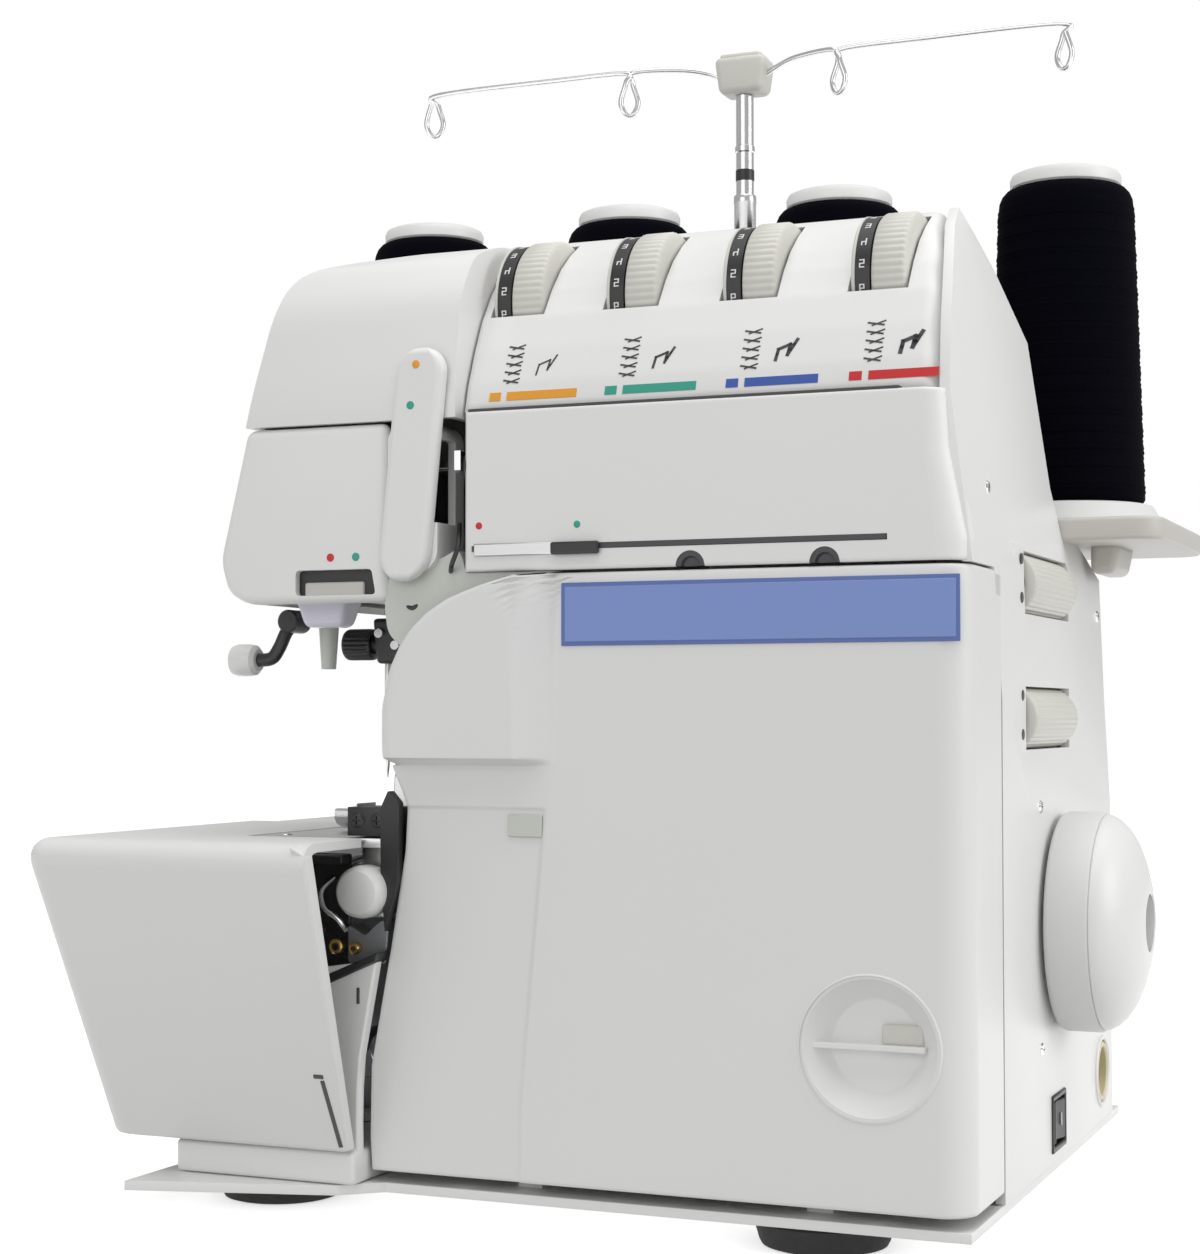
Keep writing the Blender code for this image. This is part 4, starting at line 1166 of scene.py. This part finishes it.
def make_cloth_plate():
    """The box-shaped cloth plate: rounded outside corners and a leaning front."""
    low, high = PLATE_LOW, BED_TOP
    plate = block(
        "plate_shell", (-161, -141, low), (-58, -12, high), low_end=(-145, -58, -112, -12)
    )
    bevel_edges(plate, 9.5, is_outer_edge(high), 7)
    bevel_edges(
        plate, 3.0, lambda a,
        b: abs(a.z - high) < 0.1 and abs(b.z - high) < 0.1 and (min(a.x, b.x) > -70),
    )
    bevel_edges(plate, 1.5, lambda a, b: abs(a.z - low) < 0.1 and abs(b.z - low) < 0.1, 2)
    inside = block(
        "plate_room", (-158.0, -138, low - 10), (-30, 0, high - 2.8),
        low_end=(-139.8, -30, -106.2, 0),
    )
    bevel_edges(inside, 8.0, is_outer_edge(high - 2.8), 5)
    cut(
        plate, inside, block("plate_way", (-99.2, -103, 100), (-30, 10, 130)),
        block("plate_back", (-175, -27, 5), (-100, 10, 96)),
    )
    knuckle = rod("plate_knuckle", (-147, -20, 96), (-147, -20, 115.5), 4.5)
    cut(knuckle, rod("knuckle_way", (-147, -20, 90), (-147, -20, 110), 2.3))
    own(smooth(knuckle), "shell", "cloth_plate")
    # painted shade: the cloth plate takes the darker copy of the white plastic
    own(smooth(plate, 35), "cover", "cloth_plate", ("cloth_plate",))
    strip = prism(
        "plate_flange", "Y",
        [
            (-59.2, 22.6), (-57.9, 22.6), (-57.9, 113.6), (-62.4, 116.4), (-63.0, 115.2),
            (-59.2, 112.8),
        ],
        -111.0, -106.2,
    )
    lean_forward(strip, low, 113.6, -27.0)
    own(rounded(strip, 0.5, 2), "shell", "cloth_plate")
    slot = block("plate_slot", (-60.6, -0.35, 0), (-59.2, 0.3, 22))
    slot.data.transform(Matrix.Rotation(math.radians(-8), 4, "Y"))
    front_point(slot, 32.0)
    own(rounded(slot, 0.25, 2), "ink", "cloth_plate")
    tick = block("plate_tick", (-65.2, -0.35, 0), (-61.8, 0.3, 1.3))
    front_point(tick, 45.4)
    own(rounded(tick, 0.2, 1), "ink", "cloth_plate")


def is_outer_edge(top):
    """Picks the plate's front left upright edge and its top edges at the left and the front."""
    def wanted(a, b):
        upright = min(a.x, b.x) < -100 and max(a.y, b.y) < -50 and abs(a.z - b.z) > 60
        on_top = abs(a.z - top) < 0.1 and abs(b.z - top) < 0.1
        left = on_top and max(a.x, b.x) < -100
        front = on_top and max(a.y, b.y) < -50
        return upright or left or front

    return wanted


def front_point(obj, z):
    """Sets a small piece on the cloth plate's leaning front at a height."""
    rise = BED_TOP - PLATE_LOW
    y = -112 - PLATE_LEAN * (z - PLATE_LOW) / rise
    turn = Matrix.Rotation(math.atan2(PLATE_LEAN, rise), 4, "X")
    obj.data.transform(Matrix.Translation(Vector((0, y + 0.05, z)) * MM) @ turn)


def lean_forward(obj, low, high, reach):
    """Shears a piece forward, from nothing at low to reach at high."""
    for vert in obj.data.vertices:
        vert.co.y += (vert.co.z / MM - low) / (high - low) * reach * MM


def bevel_edges(obj, width, wanted, segments=5):
    """Rounds only the edges whose two ends pass a test, in millimetres."""
    cage = bmesh.new()
    cage.from_mesh(obj.data)
    chosen = [
        edge for edge in cage.edges if wanted(edge.verts[0].co / MM, edge.verts[1].co / MM)
    ]
    bmesh.ops.bevel(
        cage, geom=chosen, offset=width * MM, segments=segments, profile=0.5, affect="EDGES",
        clamp_overlap=True,
    )
    cage_to_mesh(cage, obj.data)
    return obj


def make_base_wall():
    """The fixed wall that fills in up to the front cover, with a black strip on its top."""
    edge = [(cover_left(z) - 1.0, z) for z in (80.0, 70, 60, 50, 40, 30, 22, 16.5)]
    outline = [(-112, 16.5), (-112, 67.0)] + edge
    prism("base_wall", "Y", outline, -104.4, -100.2, "shell", edge=(0.7, 3))
    strip = [(-74.6, 69.4), (-51.6, 79.4), (-51.0, 82.6), (-75.0, 72.4)]
    prism("base_wall_strip", "Y", strip, -105.0, -97.6, "black", edge=(0.6, 2))
    block("base_wall_slot", (-58.6, -104.8, 66.4), (-57.6, -104.0, 71.4), "ink", edge=(0.2, 1))


def make_base():
    """The base tray with its softened edge, the left panel and the feet."""
    from_node("base_tray", 1.1, "shell", slot="shell_shade")
    from_node("base_left_panel", 1.6, "shell")
    make_base_wall()
    for name, x, y in (
        ("foot_front_left", -101, -76),
        ("foot_front_right", 82, -76),
        ("foot_rear_left", -96, 48),
        ("foot_rear_right", 96, 96),
    ):
        profile = [
            (0.01, 0), (17, 0), (18.6, 0.5), (19.3, 1.8), (20.6, 6.2), (21, 7.4), (20.4, 8.0),
        ]
        profile += [(0.01, 8.0)]
        foot = turned(f"{name}_pad", profile, (x, y, 0), "Z")
        for r in (6, 10.5):
            groove = [(r, -1), (r + 1.6, -1), (r + 1.6, 0.8), (r, 0.8)]
            cut(foot, turned("groove", groove, (x, y, 0), "Z"))
        own(smooth(foot), "rubber", "root", (name,))
    from_node("bed_rear_cover", 1.4, "shell")
    column = from_node("column_cover", 0.8, "shell", segments=2)
    cut(column, block("column_trim", (-50, -100, 28), (-38, -93.4, 199)))


make_cloth_plate()
make_base()


# ---- right side details


def make_handwheel():
    """The wheel: a white rim painted grey as its shade, with shallow grips, a white dome and a flush
    dark cap.
    """
    profile = [
        (13, 0.2), (33.6, 0.2), (34.8, 0.8), (35.5, 2.2), (35.5, 13.0), (35.0, 14.0), (33.0, 14.4),
        (13, 14.4),
    ]
    wheel = turned("handwheel_rim", profile, (WHEEL_X, WHEEL_Y, WHEEL_Z), "X", steps=144)
    ridge_rim(wheel, WHEEL_R, 72, 0.3, 135.5, 145)
    # painted shade: the white rim is painted in the grey satin plastic
    own(smooth(wheel, 40), "satin", "main_shaft", ("handwheel",), slot="shell")
    profile = [
        (12.9, 14.0), (34.2, 14.0), (34.7, 14.5), (34.6, 15.6), (33.4, 17.8), (31.0, 20.4),
        (27.0, 23.0),
    ]
    profile += [
        (21.5, 25.3), (15.5, 27.0), (10.4, 28.0), (9.6, 28.0), (9.2, 27.6), (9.2, 20.0),
        (12.9, 20.0),
    ]
    turned("handwheel_dome", profile, (WHEEL_X, WHEEL_Y, WHEEL_Z), "X", "shell", "main_shaft", steps=144)
    profile = [(0.01, 0), (8.9, 0), (8.9, 7.2), (8.6, 7.6), (6.8, 7.9), (0.01, 8.1)]
    turned(
        "handwheel_badge", profile, (WHEEL_X + 20, WHEEL_Y, WHEEL_Z), "X", "dark_grey", "main_shaft",
        ("handwheel_cap",),
    )


def ridge_rim(obj, radius, count, depth, x0, x1):
    """Shallow grip flutes round a wheel's rim between two planes."""
    for vert in obj.data.vertices:
        x = vert.co.x / MM
        y, z = vert.co.y / MM - WHEEL_Y, vert.co.z / MM - WHEEL_Z
        r = math.hypot(y, z)
        if r > radius - 2 and x0 <= x <= x1:
            turn = math.atan2(z, y)
            wave = depth * (0.5 - 0.5 * math.cos(turn * count))
            vert.co.y -= wave * y / r * MM
            vert.co.z -= wave * z / r * MM


def make_rollers():
    """Two grey ribbed dials in their windows, each with two printed marks beside it."""
    for name, z in (("feed_dial", 196.0), ("length_dial", 154.0)):
        low, high = -24.0, 40.0
        rows = [(low, 6.0), (low, 9.0), (low + 0.7, 9.7), (low + 1.6, ROLLER_R)]
        rows += [(low + high - y, r) for y, r in rows[::-1]]

        def place(y, across, up):
            return (ROLLER_X + across, y, z + up)

        ribbed(f"{name}_grip", rows, 9.99, 36, 6, 0.45, place, "grey", name, (name,))
        rod(f"{name}_pin", (ROLLER_X, -46, z), (ROLLER_X, 46, z), 2.1, "steel", name)
        filler = block(f"{name}_filler", (125, -38.6, z - 11.6), (SIDE_X - 0.05, -25.6, z + 11.6))
        lean_in(rounded(filler, 0.3, 2))
        own(filler, "shell")
        for i, height in enumerate((z + 7.0, z - 5.0)):
            place = (SIDE_X - lean(height), -30.4, height)
            dot(f"{name}_mark_{i}", place, "X", (1.7, 1.3, 0.1), "ink")


def lean_in(obj):
    """Shears a piece inwards with the side wall's lean."""
    for vert in obj.data.vertices:
        vert.co.x -= lean(vert.co.z / MM) * MM


def make_side_details():
    """The inlet with its two pins, the rocker in its frame, and the screws."""
    profile = [
        (0.01, 0), (10.4, 0), (10.4, 23.6), (9.9, 24.1), (9.0, 24.2), (8.4, 23.6), (8.2, 9.0),
    ]
    profile += [(0.01, 9.0)]
    turned("inlet_shell", profile, (108, 95, 29), "X", "cream", "root", ("power_inlet",))
    for i, y in enumerate((89.5, 100.5)):
        rod(f"inlet_pin_{i}", (116, y, 29), (126, y, 29), 1.1, "brass", tip=1.0)
        turned(
            f"inlet_tip_{i}", [(0.01, 0), (1.0, 0), (0.7, 0.6), (0.01, 0.8)], (126, y, 29), "X",
            "brass", steps=24,
        )
    turned(
        "inlet_ring", [(10.9, -1), (12.6, -1), (12.6, 0.2), (12.2, 0.6), (11.4, 0.6), (10.9, 0.1)],
        (131.7, 95, 29), "X", "shell",
    )
    frame_outer = block("switch_frame", (129.0, 7.6, 14.8), (132.4, 28.4, 33.2))
    cut(frame_outer, block("switch_way", (126, 8.7, 16.6), (135, 27.3, 31.4)))
    own(rounded(frame_outer, 0.5, 2), "black")
    make_rocker()
    for i, (y, z) in enumerate(((-6, 126), (-6, 50), (-62, 222), (104, 60), (92, 190))):
        x = SIDE_X - lean(z)
        make_screw(f"side_screw_{i}", (x - 0.2, y, z), "X", 1, 2.1)


def make_rocker():
    """The rocker: two faces that meet at a shallow valley."""
    outline = [
        (123.0, 10.0), (131.6, 10.0), (132.5, 10.8), (131.1, 18.0), (132.5, 25.2), (131.6, 26.0),
    ]
    outline += [(123.0, 26.0)]
    prism(
        "rocker_body", "Z", outline, 17.6, 30.4, "black", "rocker_switch", ("rocker_switch",),
        edge=(0.5, 3, 20),
    )
    block(
        "rocker_mark", (131.75, 21.2, 22.0), (132.2, 22.0, 26.0), "shell", "rocker_switch",
        edge=(0.1, 1),
    )


make_handwheel()
make_rollers()
make_side_details()


# ---- thread stand


def make_tray():
    """The spool tray with a raised rim, its screw boss, discs and pins."""
    outline = rounded_rectangle(-162.6, 162.6, 40, 140.6, 10, 10)
    tray = prism("tray_plate", "Z", outline, 213.4, 221.2)
    # painted shade: the tray takes the darker copy of the grey plastic
    own(rounded(tray, 1.4, 4), "tray", "root", ("spool_tray",))
    inner = rounded_rectangle(-160.5, 160.5, 44, 137, 9, 10)
    dish = prism("tray_dish", "Z", inner, 219.8, 226)
    rounded(dish, 0.6, 2)
    baked(dish)
    cut(baked_smooth(tray), dish)
    smooth(tray, 35)
    # painted shade: the boss takes the darker copy of the grey plastic
    block(
        "tray_boss", (133.4, 70, 204), (144, 101, 214.8), "tray", low_end=(133.4, 142, 71, 99),
        edge=(2.5, 4),
    )
    for i, x in enumerate(SPOOL_XS):
        profile = [
            (0.01, 219.8), (32.6, 219.8), (33.3, 220.6), (33.3, 222.0), (32.6, 223.0),
            (30.4, 227.4),
        ]
        profile += [(29.6, 228.6), (27.6, 229.1), (7, 229.1)]
        profile += [(5.2, 229.4), (4.6, 232), (4.2, 316), (3.6, 319), (2.0, 320), (0.01, 320)]
        turned(f"spool_disc_{i + 1}", profile, (x, SPOOL_Y, 0), "Z", "satin", steps=128)


def make_cones():
    """Cones of cross-wound thread on white cores, with the core's cap showing on top."""
    for number, x in enumerate(SPOOL_XS, 1):
        body = [(10.4, 230.0), (26.2, 230.0), (26.9, 231.0)]
        rows = 120
        for i in range(rows):
            z = 232 + (336 - 232) * i / (rows - 1)
            r = 27.0 - 3.0 * (z - 232) / 104
            r += 0.16 * math.sin(z * 3.1) + 0.12 * math.sin(z * 0.9 + number)
            body.append((r, z))
        body += [(23.5, 338.4), (22.6, 340.6), (21.2, 342.2), (19.6, 343.0), (10.4, 343.0)]
        turned(
            f"cone_winding_{number}", body, (x, SPOOL_Y, 0), "Z", "thread", "root",
            (f"thread_cone_{number}",), steps=144,
        )
        core = [(9.2, 229.4), (10.4, 229.4), (10.4, 343.2), (18.8, 343.2), (19.6, 343.9)]
        core += [
            (19.7, 346.6), (19.0, 348.2), (17.2, 349), (14.6, 349), (13.8, 348.2), (12.4, 344.8),
        ]
        core += [(9.4, 344.4)]
        turned(f"cone_core_{number}", core, (x, SPOOL_Y, 0), "Z", "shell", steps=96)


def make_mast():
    """The telescopic mast: an outer tube, a collar, and the sliding inner tubes."""
    outer = [(4.5, 221.4), (7.2, 221.4), (7.2, 226), (5.8, 227.4), (5.2, 228.6), (5.2, 324)]
    outer += [(5.9, 324.4), (5.9, 329.4), (5.5, 330), (4.5, 330)]
    turned("mast_sleeve", outer, (MAST_X, MAST_Y, 0), "Z", "steel", "root", ("mast_lower",))
    inner = [
        (0.01, 264), (4.2, 264), (4.2, 352), (4.35, 352.4), (4.35, 355), (4.1, 355.4),
        (3.4, 355.6),
    ]
    inner += [(3.4, 372), (3.8, 372.4), (3.8, 374.4), (3.4, 374.8), (3.4, 394.2), (0.01, 394.2)]
    turned("mast_tubes", inner, (MAST_X, MAST_Y, 0), "Z", "steel", "mast_upper", ("mast_upper",))
    for i, z in enumerate((334.5, 361.0)):
        r = 4.2 if z < 352 else 3.4
        turned(
            f"mast_ring_{i}", [(r, 0), (r + 0.2, 0.2), (r + 0.2, 4.2), (r, 4.4)],
            (MAST_X, MAST_Y, z), "Z", "black", "mast_upper",
        )


def eyelet(x, y, z, side):
    """A teardrop loop of wire that hangs below a point."""
    return [
        (x - side * 2.0, y, z), (x - side * 0.8, y + 1.6, z - 4),
        (x - side * 2.9, y + 1.6, z - 11), (x - side * 1.9, y + 1.0, z - 15.2),
        (x, y + 0.4, z - 16.5), (x + side * 1.9, y - 1.0, z - 15.2),
        (x + side * 2.9, y - 1.6, z - 11), (x + side * 0.8, y - 1.6, z - 4),
        (x + side * 2.0, y, z),
    ]


def make_antenna():
    """The moulded head and its two guide wires, with an eyelet over each cone."""
    low, high = (MAST_X - 10.3, 97.2, 394.5), (MAST_X + 10.3, 112.8, 408.6)
    head = block("guide_head", low, high, low_end=(MAST_X - 8.8, MAST_X + 8.8, 98.6, 111.4))
    rounded(head, 2.6, 5)
    baked(head)
    own(smooth(head), "grey", "antenna_head", ("antenna_head",))
    block(
        "guide_lid", (MAST_X - 8.2, 99, 407.6), (MAST_X + 8.2, 111, 410), "grey", "antenna_head",
        edge=(1.1, 4),
    )
    inner = {-1: SPOOL_XS[1], 1: SPOOL_XS[2]}
    outer = {-1: SPOOL_XS[0], 1: SPOOL_XS[3]}
    for side in (-1, 1):
        knots = [(MAST_X + side * 7, 104.4, 401), (MAST_X + side * 14, 103, 404)]
        knots += [(MAST_X + side * 24, 97, 405)]
        knots += eyelet(inner[side], SPOOL_Y, 404, side)
        knots += [(inner[side] + side * 30, SPOOL_Y, 404.4)]
        knots += eyelet(outer[side], SPOOL_Y, 404, side)[:-1]
        tube(f"guide_wire_{side + 1}", curve_through(knots, 8), 1.0, "steel", "antenna_head")


make_tray()
make_cones()
make_mast()
make_antenna()


# ---- needle area


def make_needles():
    """The clamp with its ribbed screw, two needles and the bar above."""
    block(
        "clamp_block", (-80, -56, 172), (-68, -44.8, 187), "black", "needle_bar",
        ("needle_clamp",), low_end=(-79, -69, -55, -45.6), edge=(1.4, 4),
    )
    ribbed_wheel("clamp_screw", (-87, -50, 178.5), 5.3, 5.2, 20, 0.5, "black", "needle_bar")
    rod("clamp_stem", (-92.6, -50, 178.5), (-79, -50, 178.5), 3.2, "black", "needle_bar")
    for i, x in enumerate((-77, -71)):
        profile = [(0.01, 134), (0.16, 134.4), (0.62, 138), (0.75, 140), (0.75, 158), (1.1, 161)]
        profile += [(1.1, 173), (0.01, 173)]
        turned(f"needle_{i + 1}", profile, (x, -50, 0), "Z", "steel", "needle_bar", steps=24)
        rod(
            f"needle_screw_{i + 1}", (x, -57.2, 182 - 4 * i), (x, -54, 182 - 4 * i), 1.5, "steel",
            "needle_bar",
        )
    turned(
        "needle_rod", [(0.01, 187.3), (3.1, 187.3), (3.5, 187.8), (3.5, 252), (0.01, 252)],
        (-74, -50, 0), "Z", "steel", "needle_bar", ("needle_bar",),
    )


def make_presser_foot():
    """The foot: toes turned up in front, a needle slot, ankle, pin and screw, and the presser bar; its
    spring is left out.
    """
    outline = [
        (-72, 121.6), (-70.4, 119.6), (-66, 118.0), (-62, 117.7), (-27, 117.7), (-27, 119.6),
    ]
    outline += [(-30, 121.0), (-52, 121.2), (-60, 122.4), (-68, 124.6), (-71.6, 124.6)]
    sole = prism("foot_sole", "X", soft_outline(outline, [0.8] * 11, 3), -85, -63)
    cut(sole, block("foot_way", (-81, -54.5, 110), (-67, -46.5, 130)))
    own(rounded(sole, 0.4, 2), "steel", "presser", ("presser_foot",))
    prism(
        "foot_ankle", "X",
        soft_outline(
            [(-43.8, 120.8), (-32.4, 120.8), (-33.4, 136), (-42.4, 136)], [1.5, 1.5, 2, 2], 4,
        ),
        -78.6, -69.4, "steel", "presser", edge=(0.5, 2),
    )
    rod("foot_pin", (-80.4, -38, 125), (-67.6, -38, 125), 1.6, "steel", "presser")
    turned(
        "foot_screw", [(0.01, 0), (2.6, 0), (2.6, 3.6), (2.0, 4.2), (0.01, 4.2)],
        (-69.6, -38, 131), "X", "steel", "presser", steps=36,
    )
    turned(
        "presser_rod", [(0.01, 136.4), (3.1, 136.4), (3.5, 137), (3.5, 248), (0.01, 248)],
        (-74, -38, 0), "Z", "steel", "presser", ("presser_bar",),
    )


def make_lifter():
    """The lifter: a black bent lever on a hub, with a milky knob on its end, its ribs left out."""
    path = [(-100, -72, 185.6), (-102, -74, 182), (-104, -75, 177), (-107, -75, 173.5)]
    path.append((-113, -75, 173))
    tube(
        "lifter_arm", curve_through(path, 8), 2.2, "black", "presser_lifter", ("presser_lifter",),
        sides=20,
    )
    turned(
        "lifter_hub", [(0.01, 67), (3.3, 67), (3.8, 67.5), (3.8, 76.5), (3.3, 77), (0.01, 77)],
        (-100, 0, 185.6), "Y", "black", "presser_lifter",
    )
    profile = [
        (0.01, 0), (3.4, 0), (4.8, 0.8), (5.3, 2.4), (5.3, 6.6), (4.9, 8.6), (3.6, 9.8),
        (0.01, 10),
    ]
    turned("lifter_knob", profile, (-121.5, -75, 173), "X", "knob", "presser_lifter")


def make_lamp():
    """The lamp's milky lens, crowned, in a frame of white plastic painted in shade."""
    block(
        "lens_glass", (-91.6, -87.6, 183), (-72.4, -74.4, 192.8), "lens", "root", ("lamp_lens",),
        low_end=(-89, -75, -85.6, -76.4), edge=(2.2, 5),
    )
    # painted shade: the frame takes the darker shaded plastic
    block("lens_frame", (-93, -89, 191.2), (-71, -73, 193.8), "shade", edge=(0.6, 2))


def make_underside():
    """The plate under the arm, the tapered thread guide and its screw and hooks."""
    # painted shade: the underside of the arm takes the darker shaded plastic
    from_node("arm_underside", 0.7, "shade", segments=2)
    turned(
        "guide_screw", [(0.01, 0), (2.4, 0), (2.4, 2.2), (1.8, 2.8), (0.01, 2.8)],
        (-90, -71.0, 186), "Y", "black", steps=36,
    )
    hooks = {
        "hook_low": [
            (-56, -88, 192), (-54, -94, 187), (-50, -97, 184), (-46.5, -96, 186.5),
            (-46, -92, 190),
        ],
        "hook_mid": [
            (-50, -90, 194), (-47, -96, 190), (-43, -98, 188), (-40, -96, 191), (-41, -92, 195),
        ],
        "hook_side": [
            (-31, -90, 214), (-27.6, -97, 211), (-26.2, -101, 206), (-27.6, -102, 201),
            (-30, -98, 199),
        ],
        "hook_top": [
            (-25.2, -92, 236), (-24.8, -97, 235), (-24.6, -99, 231), (-24.8, -97, 227),
            (-25.2, -92, 226),
        ],
    }
    for name, knots in hooks.items():
        tube(name, curve_through(knots, 8), 0.75, "black", sides=12)
    tail = [(8, 198.3), (-9, 197.4), (-29, 191.2), (-41, 182.6), (-46, 175.5), (-51.5, 180)]
    tail += [(-53, 190), (-50.6, 199.4), (-33, 203), (-27.4, 206), (-25.6, 202), (-24.8, 198.4)]
    # painted shade: the tail under the arm takes the darker shaded plastic
    prism(
        "arm_tail", "Y", soft_outline(tail, [0.5, 4, 6, 6, 2, 3, 4, 2, 2, 2, 1, 0.3], 5), -98.2,
        -84, "shade", edge=(0.8, 2),
    )


make_needles()
make_presser_foot()
make_lifter()
make_lamp()
make_underside()


# ---- knife and looper area


def make_knife_area():
    """The upper knife's block, arm, blade and guard, its knob, and the needle plate."""
    from_node("upper_knife", 0.7, "black", "upper_knife", segments=2)
    prism(
        "knife_blade", "Y", [(-64.6, 118.2), (-62.8, 118.2), (-62.8, 127.6), (-64.6, 125.4)], -97,
        -84.5, "steel", "upper_knife", edge=(0.25, 2),
    )
    for i, (x, z) in enumerate(((-60.4, 122.4), (-53.4, 122.4))):
        make_screw(f"knife_screw_{i}", (x, -101.0, z), "Y", -1, 2.3, "upper_knife", "black")
    profile = [
        (2.3, 0), (7.4, 0), (8.0, 0.7), (8.2, 2.2), (8.2, 6.4), (7.8, 8.8), (6.6, 10.3),
        (4.4, 10.9),
    ]
    profile += [(0.01, 11.0), (0.01, 7.4), (2.3, 7.4)]
    own(
        turned("knob_shell", profile, (-58, -96, 100.5), "Y", steps=96), "knob", "knife_knob",
        ("knife_knob",), slot="shell",
    )
    prism(
        "knife_guard", "Y",
        soft_outline(
            [(-50.6, 88), (-46.2, 104), (-45.8, 128), (-49.5, 132), (-52.4, 126), (-52, 104)],
            [1] * 6, 3,
        ),
        -101.5, -98.4, "black", "upper_knife", edge=(0.4, 2),
    )
    from_node("needle_plate", 0.4, "brushed", segments=2)
    screws = ((-91, -92), (-91, -20))
    for i, (x, y) in enumerate(screws):
        make_screw(f"plate_screw_{i}", (x, y, BED_TOP - 0.5), "Z", 1, 2.4)


make_knife_area()
from_node("feed_dogs", 0.3, "steel", "feed_dogs", segments=2)


def make_gap_works():
    """Dark works that show between the cloth plate and the front cover, with a black bar as painted
    shadow under the needle plate.
    """
    block("looper_shield", (-100, -94.5, 76), (-66.5, -93, 111.6), "black", edge=(0.6, 2))
    # painted shadow: a black bar standing for the shadow gap under the needle plate
    block("plate_gap_painted_shadow", (-97.2, -100.9, 108.6), (-66, -94, 111.4), "black", edge=(0.5, 2))
    prism(
        "guide_casting", "Y",
        soft_outline(
            [(-66, 78), (-52.6, 78), (-51.4, 92), (-55, 91.4), (-60, 86.6), (-66, 90)], [1.5] * 6,
            4,
        ),
        -97, -88, "cast", edge=(0.6, 2),
    )
    for i, (x, z, r) in enumerate(((-69, 83, 2.4), (-62.6, 82.6, 1.8), (-75, 88, 1.6))):
        turned(
            f"thread_eye_{i}", [(r * 0.5, 0), (r, 0), (r, 1.6), (r * 0.8, 2.1), (r * 0.5, 2.0)],
            (x, -97.6, z), "Y", "brass", steps=36,
        )
    hook = [(-72, -95, 104), (-74, -99, 100), (-72, -101, 95), (-68, -100, 92), (-66.5, -97, 88)]
    tube("looper_guide", curve_through(hook, 8), 0.9, "steel")


make_gap_works()


def make_loopers():
    """Smooth tapered looper arms on their hubs with screws, and the looper base and frame; their
    threading eyes are left out.
    """
    pivots = {"lower_looper": (-86, -60), "upper_looper": (-64, -70)}
    arms = {
        "lower_looper": [
            (-86, -60, 50), (-92, -60, 72), (-93, -60, 92), (-86, -60, 106), (-74, -60, 109),
        ],
        "upper_looper": [
            (-64, -70, 50), (-57, -70, 70), (-57, -70, 90), (-62, -70, 104), (-72, -70, 108),
        ],
    }
    for name, (x, y) in pivots.items():
        tube(
            f"{name}_arm", curve_through(arms[name], 10), 2.2, "steel", name, (name,), sides=20,
            ends=(2.9, 1.1),
        )
        profile = [(2.8, -4), (6.0, -4), (6.5, -3.5), (6.5, 3.5), (6.0, 4), (2.8, 4)]
        turned(f"{name}_boss", profile, (x, y, 48), "Y", "steel", name)
        turned(
            f"{name}_screw", [(0.01, 0), (2.2, 0), (2.2, 2.4), (1.6, 3.0), (0.01, 3.0)],
            (x, y - 6.0, 48), "Y", "brass", steps=6,
        )
    from_node("looper_base", 1.2, "cast", segments=2)
    from_node("machine_frame", 1.6, "cast", segments=2)


make_loopers()

NODE_FINISH = {  # the nodes of each finish
    "shell": (
        "arm_front_panel base_left_panel bed_rear_cover cloth_plate column_cover dial_panel "
        "face_cover front_cover handwheel head_cover knife_knob rear_cover right_side_cover "
        "takeup_cover upper_casing"
    ),
    "shade": "arm_underside base_tray",
    "blue": "cover_band",
    "steel": (
        "cover_hinge_shaft main_shaft mast_lower mast_upper motor_pulley needle_bar "
        "feed_dogs lower_knife lower_looper upper_looper presser_bar presser_foot "
        "take_up_lever"
    ),
    "grey": "handwheel_cap antenna_head feed_dial length_dial",
    "tray": "spool_tray",
    "cast": "machine_frame motor shaft_bearing looper_base",
    "rubber": "drive_belt foot_front_left foot_front_right foot_rear_left foot_rear_right",
    "cream": "power_inlet",
    "lens": "lamp_lens",
    "black": "rocker_switch needle_clamp presser_lifter upper_knife",
    "brushed": "needle_plate",
}
NODE_FINISH["grey"] += "".join(f" tension_dial_{i}" for i in range(1, 5))
NODE_FINISH["thread"] = " ".join(f"thread_cone_{i}" for i in range(1, 5))


# ---- finish


def finish_nodes():
    """Materials for the CAD nodes that stay visible."""
    for finish, names in NODE_FINISH.items():
        for name in names.split():
            paint(bpy.data.objects[name].data, finish)


finish_nodes()
bpy.context.scene.view_settings.view_transform = "Standard"
